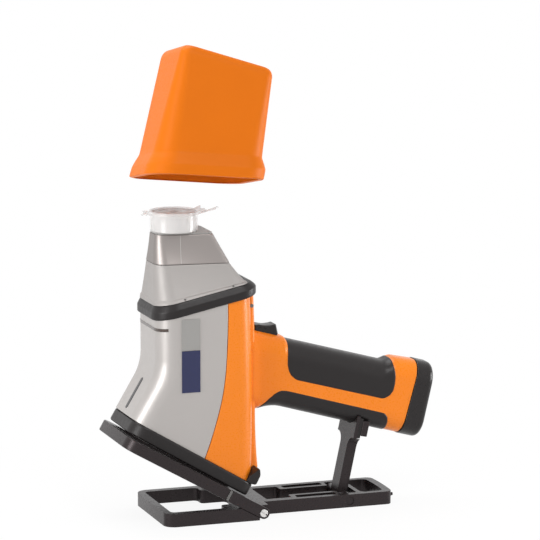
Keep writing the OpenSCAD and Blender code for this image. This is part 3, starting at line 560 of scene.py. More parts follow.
def on_station(t, flat):
    """Section points (along the section line, across) put on the section planes of shares t."""
    a, b = front_line(t), rear_line(t)
    d = (b - a) / np.linalg.norm(b - a, axis=1, keepdims=True)
    u, v = flat[..., 0], flat[..., 1]
    return np.stack([a[:, :1] + d[:, :1] * u, v, a[:, 1:] + d[:, 1:] * u], -1)


def station_length(t):
    """Length of the section line from front to rear at shares t."""
    return np.linalg.norm(rear_line(t) - front_line(t), axis=1)


def seam_share(t):
    """Where the seam crosses the section line: it moves forwards with the power 1.5 of the share."""
    return 0.72 + (0.578 - 0.72) * np.power(t, 1.5)


def spine_height(t):
    """How far the spine stands behind the rear wall: steady, swelling with the square of the share towards
    its foot, where a smooth step takes over and draws it back."""
    swell = SPINE_H + 8 * np.maximum(0, (t - 0.58) / 0.42) ** 2
    foot = SPINE_H + 4.6 * smooth_step((t - 0.58) / 0.36) * (1 - 0.98 * smooth_step((t - 0.925) / 0.075))
    return np.where(t > 0.9, foot, swell)


def handle_to_world(s, y, h):
    """Handle coordinates (along, across, up) put in the frame by the handle's slope."""
    return turned(np.stack(np.broadcast_arrays(s, y, h), -1), HANDLE_TILT, HANDLE_AT)


def handle_upper(s):
    """Height of the handle's upper side along its length: the root's lip and the end's toe rise on smooth
    steps, and the toe goes on at a slight slope."""
    lip, toe = 2.4 * smooth_step((-8.2 - s) / 4.0), 6 * smooth_step((s - 83) / 12)
    return HALF_D + lip + toe + 0.06 * np.maximum(0, s - 94)


def handle_lower(s):
    """Height of the handle's lower side along its length, with the square flare that runs into the spine."""
    return -HALF_D - 0.012 * np.maximum(0, s) - 4.5 * np.clip((2 - s) / 18, 0, 1.35) ** 2


def handle_ring(s, grow=0.0):
    """Closed sections (up, across) of the handle at the places s, grown by an amount."""
    hi, lo, w = handle_upper(s) + grow, handle_lower(s) - grow, HANDLE_W / 2 + grow
    ctrl = control_rows((hi, 0), (hi, -w), (lo, -w), (lo, 0))
    r = HANDLE_R + grow
    return mirrored(rounded_path(ctrl, [0, r, r, 0], arc=16, line=8))[:, :-1]


def grip_sheet(side, ends, proud, rows=90):
    """A grip wrapped over the upper (side 1) or the lower (side -1) face: columns follow the handle's section
    from one side edge over the crown to the other, rows run between the two end curves, and near every
    border the surface dips into the handle on a quarter circle."""
    sink, roll, low = 1.4, 1.5, ends[0][0][0]
    ctrl = control_rows((low, -HANDLE_W / 2), (HALF_D, -HANDLE_W / 2), (HALF_D, 0))
    path = mirrored(rounded_path(ctrl, [0, HANDLE_R, 0], arc=22, line=14))[0]
    along = np.gradient(path, axis=0)
    along /= np.linalg.norm(along, axis=1, keepdims=True)
    normal = np.stack([along[:, 1], -along[:, 0]], 1)
    run = run_along(path)
    near_edge = np.array([0, 0.15, 0.4, 0.8, 1.3])
    at = np.unique(np.concatenate([near_edge, np.linspace(1.8, run[-1] - 1.8, 96), run[-1] - near_edge]))
    (h, y), (nh, ny) = ([np.interp(at, run, line) for line in lines.T] for lines in (path, normal))
    first, last = (np.interp(h, *np.transpose(curve)) for curve in ends)
    near_end = np.array([0.0, 0.0012, 0.003, 0.006, 0.010, 0.014])
    f = np.concatenate([near_end, np.linspace(0, 1, rows)[2:-2], 1 - near_end[::-1]])[:, None]
    s = first + (last - first) * f
    lift = (handle_upper(s) if side > 0 else -handle_lower(s)) - HALF_D
    share = np.clip((h - low) / (HALF_D - HANDLE_R - low), 0, 1)
    near = np.minimum(np.minimum(s - first, last - s), np.minimum(at, at[-1] - at))
    out = (proud + sink) * np.sqrt(1 - (1 - np.clip(near / roll, 0, 1)) ** 2) - sink
    return handle_to_world(s, y + ny * out, side * (h + lift * share + nh * out))


def nose_ends(u):
    """The nose's left and right ends and their half-widths at height shares u. The right end and its width
    grow almost evenly downwards, the left end's width with the power 1.6."""
    slow, even = (1 - u) ** 1.6, (1 - u) ** 1.02
    return -85.5 - 4.8 * (1 - u), -35.9 + 26.0 * even, 13 + 22.5 * slow, 21 + 14.5 * even


def nose_plan(u, inset):
    """Nose sections at height shares u: a narrow rounded left end and a wider right end."""
    left, right, wl, wr = nose_ends(u)
    rl, rr = 8 + 10 * (1 - u) - 0.8 * inset, 4.2 + 2.2 * (1 - u) - 0.6 * inset
    return plan_ring(left + inset, right - inset, wl - inset, wr - inset, rl, rr, arc=18, line=14)


def plate_joint(side, rise, u, z):
    """The joint line on one side of the nose plate: a thin ridge that follows the plate's flank."""
    across, proud = np.array([-0.22, -0.2, 0.2, 0.22]), np.array([-0.2, 0.07, 0.07, -0.2])
    x = (-66.2 + 1.4 * rise)[:, None] + across
    left, right, wl, wr = (v[:, None] for v in nose_ends(u))
    half = wl + (wr - wl) * (x - left) / (right - left) - 0.4
    return np.dstack([x, side * (half + proud), z[:, None] + 0 * x]), OPEN


def lifted(points):
    """Shield points put where the hand holds it: tilted about Y, leant back about the level line across the
    line of sight, and carried to its place."""
    across = Vector((math.cos(math.radians(LIFT_TURN)), -math.sin(math.radians(LIFT_TURN)), 0))
    lean = Matrix.Rotation(math.radians(-LIFT_BACK), 3, across)
    tilt = Matrix.Rotation(math.radians(LIFT_TILT), 3, "Y")
    return points @ np.array(lean @ tilt).T + np.array(LIFT_AT)


def shield_skin(rows, inwards):
    """One skin of the shield, moved inwards by an amount: a stack of the skirt's plan with the insets of
    the wall's rows, and its crowned top, a parabola over the last plan."""
    half_len, half_w = (BAND_R - BAND_L) / 2 + 5.5, BAND_W / 2 + 4.5 - rows[:, 3] - inwards
    plan = plan_ring(rows[:, 1] + inwards - half_len, half_len - rows[:, 2] - inwards, half_w, half_w,
                     rows[:, 5] - inwards, rows[:, 6] - inwards, arc=20, line=14)
    lowered = rows[:, 0] - np.where(rows[:, 0] > 90, inwards, 0)
    wall = at_heights(plan, lowered[:, None] + plan[..., 0] * TAN_B * rows[:, 4:5])
    last = wall[-1, :, :2]
    crown = drawn_in(last, (last.max(0) + last.min(0)) / 2, 12)
    rise = 0.5 * (1 - np.linspace(1, 0, 12) ** 2)
    return wall, at_heights(crown, wall[-1, :, 2] + rise[:, None])


def pin_head(side, rows=41):
    """A slotted pin head seen end on: lines across the slot, each cut where the round edge ends it; the
    height falls on a circle at the rim and drops to the slot's floor between its two walls."""
    depth, half_slot, edge, wall = 1.8, 0.62, 0.6, 0.01
    outer = np.linspace(half_slot, PIN_R * 0.999, 16)
    x = np.concatenate([-outer[::-1], [wall - half_slot, half_slot - wall], outer])
    y = np.sin(np.linspace(-np.pi / 2, np.pi / 2, rows))[:, None] * np.sqrt(PIN_R ** 2 - x * x)
    past_edge = np.maximum(0, np.hypot(x, y) - (PIN_R - edge))
    fall = edge - np.sqrt(np.maximum(edge ** 2 - past_edge ** 2, 0))
    top = PIN_Y - fall - np.where(np.abs(x) < half_slot, depth, 0)
    c, s = math.cos(math.radians(PIN_SLOT_TURN)), math.sin(math.radians(PIN_SLOT_TURN))
    return np.stack([x * c - y * s, side * top, BASE_T / 2 + x * s + y * c], -1)


def film_flap(middle, spread, reach, rise, phase, room):
    """A fan of loose film round the cup: its reach and its height waver with sines of the angle, in folds
    that deepen outwards; room is the farthest that it may come from the cup's axis towards the left."""
    start = CUP_R + 0.8
    a = np.radians(np.linspace(middle - spread, middle + spread, 61))
    k = (a - math.radians(middle)) / math.radians(spread)
    f = np.linspace(0, 1, 18)[:, None]
    out = reach * (0.55 + 0.45 * np.cos(k * 1.9) + 0.22 * np.sin(7 * k + phase) + 0.1 * np.sin(17 * k))
    out = np.minimum(np.maximum(out, 1.5), room / np.maximum(-np.cos(a), 0.5) - start)
    fold = 1.1 * np.sin(9 * k + phase) + 0.7 * np.sin(21 * k + 2 * phase)
    z = CUP_Z + 14.4 + f * (rise * out * (0.6 + 0.4 * np.cos(3 * k + phase)) + fold)
    r = start + f * out
    return np.stack([CUP_X + r * np.cos(a), r * np.sin(a), z], -1)


# ---------------------------------------------------------------- pieces of the analyser
class MakeFrontShell(bpy.types.Operator):
    """Makes the silver front housing.

    Sections lie on planes that turn from the band's slope to the display's; each is the path from the
    near seam round the front corner to the middle, mirrored; the seam edges roll inwards."""
    bl_idname = "analyser.front_shell"
    bl_label = "Front housing"

    def execute(self, context):
        sizes, half = context.scene.analyser_housing, BODY_W / 2
        t = np.concatenate([[0.0, 0.002], np.linspace(0.008, 0.992, 110), [0.998, 1.0]])
        seam = station_length(t) * seam_share(t) - SEAM_GAP
        ctrl = control_rows((seam, SEAM_LIP - half), (seam, -half), (0, -half), (0, 0))
        radii = [0, sizes.seam_edge / MM, sizes.front_corner / MM, 0]
        shell = on_station(t, mirrored(rounded_path(ctrl, radii, arc=18, line=16)))
        make_piece("front_housing", "analyser", "silver_paint", [(shell, OPEN)], ("front_shell",))
        return {"FINISHED"}


class MakeSideShells(bpy.types.Operator):
    """Makes the orange side shells with the spine, one for each side.

    Sections on the same turning planes: from the seam along the side, round the rear corner, along the
    rear wall, up the spine's flank with a fillet and over its rounded back almost to the middle."""
    bl_idname = "analyser.side_shells"
    bl_label = "Side shells and spine"

    def execute(self, context):
        sizes, half, flank = context.scene.analyser_housing, BODY_W / 2, SPINE_W / 2
        foot_out, top_in, parting = 0.6, 0.2, 0.12
        t = np.concatenate([[0.0, 0.002], np.linspace(0.008, 0.9, 90), np.linspace(0.905, 1.0, 24)])
        wall, height = station_length(t), spine_height(t)
        seam, back = wall * seam_share(t) + SEAM_GAP, wall + height
        ctrl = control_rows((seam, SEAM_LIP - half), (seam, -half), (wall, -half), (wall, -flank - foot_out),
                            (back, top_in - flank), (back, -parting))
        fillet, back_round = np.minimum(3.0, height * 0.4), np.minimum(5.0, height * 0.55)
        radii = per_row(0, sizes.seam_edge / MM, sizes.rear_corner / MM, fillet, back_round, 0)
        near = on_station(t, rounded_path(ctrl, radii, arc=14, line=10))
        for name, side in (("right", 1), ("left", -1)):
            make_piece("side_shell_" + name, "analyser", "orange_moulding",
                       [(near * np.array([1, side, 1.0]), OPEN)], ("rear_shell_" + name,))
        return {"FINISHED"}


class MakeHandle(bpy.types.Operator):
    """Makes the orange handle: rounded sections carried along its axis from inside the spine to the collar,
    whose edge is a quarter circle and whose mouth turns inwards."""
    bl_idname = "analyser.handle"
    bl_label = "Handle shells"

    def execute(self, context):
        collar, mouth, stop_x, root_x, root_wider = HANDLE_LEN - HANDLE_EDGE, 4.0, -6.0, 7.0, 0.05
        q = np.linspace(0.2, np.pi / 2, 5)
        s = np.concatenate([np.linspace(HANDLE_START, -4, 50), np.linspace(-2, 80, 42),
                            np.linspace(81, collar, 40), collar + HANDLE_EDGE * np.sin(q), [HANDLE_LEN]])
        inset = np.concatenate([np.zeros(len(s) - 6), HANDLE_EDGE * (1 - np.cos(q)), [mouth]])
        ring = handle_ring(s) * (1 - inset[:, None, None] / np.array([HALF_D, HANDLE_W / 2]))
        world = handle_to_world(s[:, None], ring[..., 1], ring[..., 0])
        # the root widens on a square law where it meets the spine, and stops inside it
        world[..., 1] *= 1 + root_wider * np.clip((root_x - world[..., 0]) / root_x, 0, 1) ** 2
        short = np.maximum(0, stop_x - world[..., 0])
        world[..., 0] += short
        world[..., 2] -= short * math.tan(math.radians(HANDLE_TILT))
        make_piece("handle_shells", "analyser", "orange_moulding", [(world, TUBE)],
                   ("handle_right", "handle_left"))
        return {"FINISHED"}


class MakeGrips(bpy.types.Operator):
    """Makes the upper and lower rubber grips that wrap the handle."""
    bl_idname = "analyser.grips"
    bl_label = "Rubber grips"

    def execute(self, context):
        proud = context.scene.analyser_housing.grip_proud / MM
        for name, side, ends in (("upper", 1, UPPER_ENDS), ("lower", -1, LOWER_ENDS)):
            make_piece("grip_" + name, "analyser", "black_rubber", [(grip_sheet(side, ends, proud), OPEN)],
                       (name + "_grip",))
        return {"FINISHED"}


class MakeBatteryCap(bpy.types.Operator):
    """Makes the battery cap: the handle's section grown a little, closed by an elliptic rounding to an end
    that leans a little from the square."""
    bl_idname = "analyser.battery_cap"
    bl_label = "Battery cap"

    def execute(self, context):
        mouth, lip, end_long, end_in, lean = 4.0, 0.7, 5.0, 4.2, 0.045
        q, a = np.linspace(0.1, np.pi / 2, 5), np.linspace(0, np.pi / 2, 12)
        s = np.concatenate([[0.0], lip * (1 - np.cos(q)), np.linspace(2 * lip, CAP_LEN - end_long - 0.5, 16),
                            CAP_LEN - end_long + end_long * np.sin(a)])
        inset = np.concatenate([[mouth], lip * (1 - np.sin(q)), np.zeros(16), end_in * (1 - np.cos(a))])
        section = handle_ring(np.array([HANDLE_LEN + 2]), CAP_GROW)[0]
        middle, half = (section.max(0) + section.min(0)) / 2, np.ptp(section, axis=0) / 2
        body = middle + (section - middle) * (1 - inset[:, None, None] / half)
        sheared = lean * np.clip((s - 4) / 10, 0, 1)[:, None] * (body[..., 0] - middle[0])
        along = HANDLE_LEN + CAP_GAP + s[:, None] - sheared
        sheets = [(handle_to_world(at, flat[..., 1], flat[..., 0]), TUBE)
                  for at, flat in ((along, body), (along[-1], drawn_in(body[-1], middle, 8)))]
        make_piece("cap_of_battery", "battery", "black_plastic", sheets, ("battery_cap",))
        return {"FINISHED"}


class MakeBand(bpy.types.Operator):
    """Makes the rubber band: a profile with a bevelled, rounded top edge carried round the sloping plan;
    the bevel is wider at the right end."""
    bl_idname = "analyser.band"
    bl_label = "Rubber band"

    def execute(self, context):
        bevel_from, wider = 0.55, 0.8
        ctrl = control_rows((0, 6.0), (0, 0), (BAND_RISE * bevel_from, 0), (BAND_RISE, 2.9), (BAND_RISE, 8.0))
        up, inset = rounded_path(ctrl, [0, 1.6, 2.2, 1.4, 0], arc=8, line=4)[0].T
        on_bevel = np.clip(up / BAND_RISE - bevel_from, 0, 1 - bevel_from) / (1 - bevel_from)
        half = BAND_W / 2 - inset
        plan = plan_ring(BAND_L + inset, BAND_R - inset * (1 + wider * on_bevel), half, half,
                         20 - inset * 0.8, 16 - inset * 0.8, arc=20, line=14)
        band = at_heights(plan, up[:, None] + band_low(plan[..., 0]))
        make_piece("band_rubber", "analyser", "black_rubber", [(band, RING)], ("rubber_band",))
        return {"FINISHED"}


class MakeNose(bpy.types.Operator):
    """Makes the nose: the painted cone up to the seam with its small screws, the bare metal plate over it
    with its joint lines, and its flat face with the round window.

    Each part is a stack of the nose sections; the cone's foot follows the band's slope and flattens
    towards the seam."""
    bl_idname = "analyser.nose"
    bl_label = "Nose"

    def execute(self, context):
        foot = BAND_Z + BAND_RISE + RUNNING_GAP
        plate = PLATE_Z + SEAM_GAP
        seam_u = 1 - (NOSE_Z - PLATE_Z) / (NOSE_Z - foot)
        v = np.concatenate([[0.0, 0.03, 0.075, 0.085, 0.10], np.linspace(0.13, 0.985, 40), [0.995, 1.0, 1.0]])
        inset = np.concatenate([[-0.2, -0.2, -0.2, 0.15, 0.6], np.full(40, 0.6), [0.75, 1.1, 3.3]])
        plan = nose_plan(seam_u * v, inset)
        z = foot + (PLATE_Z - foot) * v[:, None] + (plan[..., 0] - BAND_X) * ((1 - v) * TAN_B)[:, None]
        # the cone's finish is the housing silver darkened as painted shade
        make_piece("nose_cone_painted", "analyser", "cone_paint", [(at_heights(plan, z), TUBE)],
                   ("nose_cone",))

        k = np.concatenate([[0.0, 0.0, 0.012, 0.03], np.linspace(0.06, 0.975, 26), [0.985, 0.995, 1.0]])
        inset = np.concatenate([[3.4, 0.8, 0.45, 0.4], np.full(26, 0.4), [0.52, 0.85, 1.4]])
        plan = nose_plan(seam_u + (1 - seam_u) * k, inset)
        make_piece("nose_plate_bare", "analyser", "nose_nickel",
                   [(at_heights(plan, plate + (NOSE_Z - plate) * k), TUBE)], ("nose_plate",))

        rise = np.linspace(0.02, 0.965, 24)
        joints = [plate_joint(side, rise, seam_u + (1 - seam_u) * rise, plate + (NOSE_Z - plate) * rise)
                  for side in (-1, 1)]
        make_piece("plate_joint_lines", "analyser", "silver_paint", joints)

        a = np.linspace(0, 2 * np.pi, 20, endpoint=False)
        r, depth = np.array([(0.8, 34.9), (0.8, 35.75), (0.02, 35.75)]).T[..., None]
        screws = []
        for x in (-67.0, -24.0):
            z = foot + 1.3 + (x - BAND_X) * TAN_B
            screws += [(np.stack([x + r * np.cos(a), side * depth + 0 * a, z + r * np.sin(a)], -1), TUBE)
                       for side in (-1, 1)]
        make_piece("cone_screws", "analyser", "dark_steel", screws)

        window_r, face = 7.0, NOSE_Z + 1.4
        rim = nose_plan(np.ones(5), np.array([1.6, 1.0, 0.85, 1.0, 1.4]))
        last = rim[-1]
        a = np.arctan2(last[:, 1], last[:, 0] - CUP_X)
        window = np.stack([CUP_X + window_r * np.cos(a), window_r * np.sin(a)], -1)
        f = np.linspace(0, 1, 8)[:, None, None]
        sheets = [(at_heights(rim, NOSE_Z + np.array([-0.4, 0.1, 0.8, 1.25, 1.4])), TUBE),
                  (at_heights(last * (1 - f) + window * f, np.full(8, face)), TUBE),
                  (at_heights(np.stack([window, window]), [face, NOSE_Z - 2.0]), TUBE)]
        make_piece("nose_face_rim", "analyser", "grey_plate", sheets, ("nose_face",))
        return {"FINISHED"}


class MakeBezel(bpy.types.Operator):
    """Makes the display bezel: a quarter-round edge at both faces carried round its plan, the walls of the
    window and of the button's hole, and flat faces between them."""
    bl_idname = "analyser.bezel"
    bl_label = "Display bezel"

    def execute(self, context):
        r, button_x, button_r, button_depth = 1.8, -12.0, 5.3, BEZEL_T - 4.0
        a = np.linspace(0, np.pi / 2, 7)
        inset = np.concatenate([r * (1 - np.sin(a)), [0], r * (1 - np.cos(a))])
        level = np.concatenate([r * (1 - np.cos(a)), [BEZEL_T / 2], BEZEL_T - r + r * np.sin(a)])
        half = BEZEL_W / 2 - inset
        outside = plan_ring(-BEZEL_LEN + inset, -inset, half, half, 17 - inset * 0.8, 12 - inset * 0.8,
                            arc=20, line=10)
        window = plan_ring(-BEZEL_LEN + 16, -BEZEL_LEN + 100, 29.5, 29.5, 2.0, 2.0, arc=6, line=10)[0]
        q = np.linspace(0, 2 * np.pi, 40, endpoint=False)
        button = np.stack([button_x + button_r * np.cos(q), button_r * np.sin(q)], -1)
        sheets = [(turned(at_heights(plan, z), DISPLAY_TILT, BEZEL_AT), TUBE)
                  for plan, z in ((outside, level), (np.stack([window, window]), [0.0, BEZEL_T]),
                                  (np.stack([button, button]), [0.0, button_depth]))]
        mesh = sheet_mesh("bezel_of_display", sheets, flat_levels=(0.0, BEZEL_T))
        settle("bezel_of_display", mesh, "analyser", "black_rubber", ("display_bezel",), sharp=32)
        return {"FINISHED"}


class MakeSlot(bpy.types.Operator):
    """Makes the dark slot low on the front: a strip on the housing's front line with half-round ends,
    whose rim rolls down into the surface."""
    bl_idname = "analyser.slot"
    bl_label = "Front slot"

    def execute(self, context):
        half_w, top, bottom, sunk = 2.9, 0.612, 0.95, 0.35
        t = top + (bottom - top) * np.linspace(0, 1, 61)
        run = run_along(front_line(t))
        end = np.minimum(run, run[-1] - run)[:, None]
        half = half_w * np.sqrt(np.maximum(1 - np.clip(1 - end / half_w, 0, 1) ** 2, 0.0004))
        v = np.linspace(-1, 1, 15)
        rim, tip = np.clip((np.abs(v) - 0.72) / 0.28, 0, 1), np.clip(1 - end / 0.5, 0, 1)
        depth = 0.6 * rim ** 2 - sunk + sunk * tip
        strip = on_station(t, np.stack([depth, half * v], -1))
        make_piece("dark_front_slot", "analyser", "dark_slot", [(strip, OPEN)], ("front_slot",))
        return {"FINISHED"}


class MakeTrigger(bpy.types.Operator):
    """Makes the trigger: its side profile carried across, drawn in on a quarter circle at both flanks."""
    bl_idname = "analyser.trigger"
    bl_label = "Trigger"

    def execute(self, context):
        half_w, r = 7.0, 1.3
        ctrl = control_rows((12, 147.6), (4.2, 152.9), (5.0, 163.2), (9.0, 163.4), (15.0, 161.9),
                            (21.0, 162.3), (24.4, 163.0), (26.3, 154.2), (23.6, 147.6), (12.1, 147.6))
        path = rounded_path(ctrl, [0, 1.0, 1.2, 8, 18, 8, 1.0, 3, 0.8, 0], arc=8, line=4)[0]
        middle = path.mean(0)
        a = np.linspace(0, np.pi / 2, 7)
        far = half_w - r * (1 - np.sin(a))
        inset = r * (1 - np.cos(np.concatenate([a[::-1], a])))
        shrink = 1 - inset[:, None] / np.maximum(np.linalg.norm(path - middle, axis=1), 3)
        flat = middle + (path - middle) * shrink[..., None]
        sheets = carried_across(flat, np.concatenate([-far[::-1], far]), middle, 5)
        make_piece("trigger_black", "trigger_body", "black_plastic", sheets, ("trigger",))
        return {"FINISHED"}


class MakeFeet(bpy.types.Operator):
    """Makes the rounded rubber feet at the heel: a leaf-shaped outline in the upright plane carried across,
    drawn in and lowered on a quarter circle at its outer end."""
    bl_idname = "analyser.feet"
    bl_label = "Corner feet"

    def execute(self, context):
        inner_y, round_y, round_h, drawn = 22.0, 33.6, 4.6, 0.14
        ctrl = control_rows((-8.5, 30.0), (-14.0, 32.4), (-9.8, 38.4), (-0.4, 43.8), (0.0, 37.5),
                            (-4.4, 28.8), (-8.6, 30.0))
        path = rounded_path(ctrl, [0, 1.6, 6.0, 1.2, 7.0, 2.0, 0], arc=10, line=4)[0][:-1]
        middle = np.array([-5.0, 36.0])
        a = np.linspace(0, np.pi / 2, 12)
        y = np.concatenate([[inner_y], round_y + round_h * np.sin(a)])
        scale = np.concatenate([[1.0], 1 - drawn * (1 - np.cos(a))])
        flat = middle + (path - middle) * scale[:, None, None]
        sheets = [sheet for side in (-1, 1) for sheet in carried_across(flat, side * y, middle, 6)]
        make_piece("rounded_feet", "analyser", "black_rubber", sheets, ("corner_feet",))
        return {"FINISHED"}


# ---------------------------------------------------------------- shield and cup
class MakeShield(bpy.types.Operator):
    """Makes the lift-off shield.

    Its wall profile gives the inset from the skirt's plan and the share of the rim's slope at each height,
    and a quarter ellipse rounds the shoulder; the outside and, one wall further in, the inside are joined
    at the rim."""
    bl_idname = "analyser.shield"
    bl_label = "Safety shield"

    def execute(self, context):
        wall = context.scene.analyser_shield.wall / MM
        shoulder_h, shoulder_in = 9, 6.1
        key = np.array(SHIELD_WALL, float)
        run = run_along(key[:, [0, 3]])
        skirt = run[SKIRT_ROWS - 1]
        fine = np.unique(np.concatenate([run, np.linspace(0, skirt, 40), np.linspace(skirt, run[-1], 50)]))
        rows = np.stack([np.interp(fine, run, column) for column in key.T], 1)
        a = np.linspace(0.12, np.pi / 2, 12)
        roll, (_, left, right, side, _, _, corner) = shoulder_in * (1 - np.cos(a)), key[-1]
        smaller = corner - 0.5 * roll
        shoulder = per_row(SHIELD_SHOULDER + shoulder_h * np.sin(a), left + roll, right + roll, side + roll,
                           0, smaller, smaller)
        rows = np.vstack([rows, shoulder])
        (outer, outer_top), (inner, inner_top) = shield_skin(rows, 0.0), shield_skin(rows, wall)
        inner[0, :, 2] = outer[0, :, 2]
        rim = np.stack([inner[0], outer[0]])
        sheets = [(lifted(skin), TUBE) for skin in (outer, outer_top, inner, inner_top, rim)]
        make_piece("shield_moulded", "shield", "shield_moulding", sheets, ("safety_shield",))
        return {"FINISHED"}


class MakeCup(bpy.types.Operator):
    """Makes the sample cup: a lathed clear wall with its snap ring and lip, the inner ring, and the powder,
    whose top is a low mound of crossed sines."""
    bl_idname = "analyser.cup"
    bl_label = "Sample cup"

    def execute(self, context):
        wall = [(-1.2, 0.2), (-0.9, 0), (-0.25, 0), (0, 0.3), (0, 4.0), (0, 8.0), (0, 13.6), (0.2, 14.2),
                (0.9, 14.8), (1.1, 15.3), (1.1, 16.4), (0.8, 16.9), (0.3, 17.0), (-1.0, 17.0), (-1.25, 16.7),
                (-1.2, 15.0), (-1.2, 0.2)]
        ring = [(-1.35, 0.4), (-1.35, 14.6), (-1.7, 15.0), (-2.5, 15.0), (-2.7, 14.6), (-2.7, 0.4),
                (-1.35, 0.4)]
        for name, profile, node in (("wall", wall, "cup_body"), ("ring", ring, "cup_ring")):
            sheet = lathe(np.array(profile) + [CUP_R, 0], CUP_X, CUP_Z)
            make_piece(f"cup_{name}_clear", "cup", "cup_plastic", [(sheet, TUBE)], (node,))
        a = np.linspace(0, 2 * np.pi, 96, endpoint=False)
        rr = np.linspace(0, CUP_R - 2.85, 16)[:, None]
        mound = 13.2 + 0.35 * np.sin(rr * 0.5 + 2 * a) * np.cos(3 * a + rr * 0.2) * (rr / 18)
        top = np.stack([CUP_X + rr * np.cos(a), rr * np.sin(a), CUP_Z + mound], -1)
        low = top[-1] * [1, 1, 0] + [0, 0, CUP_Z + 0.4]
        middle = np.broadcast_to([CUP_X, 0, CUP_Z + 0.4], low.shape)
        sheets = [(top, TUBE), (np.stack([top[-1], low]), TUBE), (np.stack([low, middle]), TUBE)]
        make_piece("powder_sample", "cup", "sample_powder", sheets, ("sample_powder",))
        return {"FINISHED"}


class MakeFilmFlaps(bpy.types.Operator):
    """Makes the loose film that sticks out under the cup's ring: a fan drooping on the left, kept clear of
    the seated shield, and one rising on the right with the film over the cup."""
    bl_idname = "analyser.film_flaps"
    bl_label = "Loose film"

    def execute(self, context):
        cover = lathe([(19.2, 16.1), (12.0, 15.9), (5.0, 15.85), (0.01, 15.85)], CUP_X, CUP_Z)
        left = film_flap(152, 38, reach=12.0, rise=-0.3, phase=0.4, room=23.8)
        right = film_flap(-12, 52, reach=14.0, rise=0.42, phase=1.7, room=math.inf)
        for name, sheets in (("film_flap_left", [(left, OPEN)]),
                             ("film_flap_right", [(right, OPEN), (cover, TUBE)])):
            piece = make_piece(name, "cup", "cup_film", sheets, outward=False)
            piece.modifiers.new("Film", "SOLIDIFY").thickness = 0.00012
        return {"FINISHED"}


# ---------------------------------------------------------------- stand and carried-over pieces
class MakeStand(bpy.types.Operator):
    """Makes the bench stand's machined pieces as welded copies with broken edges."""
    bl_idname = "analyser.stand"
    bl_label = "Bench stand"

    def execute(self, context):
        edge = context.scene.analyser_stand.edge
        for name, node, body, finish, width in (
                ("base_of_stand", "base_frame", "stand_base", "black_anodised", edge),
                ("tilt_frame_bar", "tilt_frame", "frame", "black_anodised", edge),
                ("hinge_arm_pair", "hinge_arms", "frame", "black_anodised", edge),
                ("leg_of_stand", "prop_leg", "leg", "black_anodised", edge),
                ("leg_rear_cheek", "leg_cheek", "leg", "black_anodised", edge * 0.8),
                ("leg_saddle_pad", "leg_pad", "leg", "black_rubber", edge * 0.5),
                ("key_strips", "steel_keys", "frame", "dark_steel", 0.0004)):
            dressed_copy(name, node, body, finish, width)
        return {"FINISHED"}


class MakePins(bpy.types.Operator):
    """Makes the slotted hinge pins: a rounded head with a slot at each side and a plain round shank."""
    bl_idname = "analyser.pins"
    bl_label = "Hinge pins"

    def execute(self, context):
        a = np.linspace(0, 2 * np.pi, 48, endpoint=False)
        r, y = np.array([(PIN_R, 45.85), (PIN_R, 44.2), (2.5, 44.2), (2.5, 28.2), (0.05, 28.2)]).T[..., None]
        sheets = []
        for side in (-1, 1):
            shank = np.stack([r * np.cos(a), side * y + 0 * a, BASE_T / 2 + r * np.sin(a)], -1)
            sheets += [(pin_head(side), OPEN), (shank, TUBE)]
        make_piece("slotted_pins", "stand_base", "bright_steel", sheets, ("hinge_pins",))
        return {"FINISHED"}


class PaintSmallPieces(bpy.types.Operator):
    """Gives the carried-over small and inner CAD pieces their finishes."""
    bl_idname = "analyser.small_pieces"
    bl_label = "Small and inner pieces"

    def execute(self, context):
        for finish, nodes in (
                ("grey_plate", ("side_plate_upper",)), ("navy_plate", ("side_plate_lower",)),
                ("status_lens", ("status_light",)), ("display_glass", ("display_glass",)),
                ("black_plastic", ("power_button", "battery_pack")), ("board_green", ("main_board",)),
                ("window_gold", ("battery_contacts", "window_film")), ("cup_film", ("cup_film",)),
                ("dark_steel", ("housing_screws",)), ("black_anodised", ("leg_axle", "end_studs")),
                ("bright_steel", ("xray_tube", "detector")),
                ("inner_grey", ("display_panel", "trigger_switch", "high_voltage_supply", "inner_chassis"))):
            for node in nodes:
                put_finish(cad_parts[node].data, finish)
        return {"FINISHED"}


# ---------------------------------------------------------------- stage, in metres
CAMERA_AT, CAMERA_AZ, CAMERA_EL = (-0.9577, -2.8427, 0.7449), 19.0, 10.1
SENSOR, FOCAL_PIXELS, PICTURE_PIXELS = 36.0, 3535, 540


def seen_directly(tree):
    """A socket that is 1 for camera, transmission and glossy rays and 0 for the rest."""
    rays = add_node(tree, "LightPath").outputs
    value = rays["Is Camera Ray"]
    for kind in ("Is Transmission Ray", "Is Glossy Ray"):
        value = add_node(tree, "Math", {0: value, 1: rays[kind]}, operation="MAXIMUM").outputs[0]
    return value


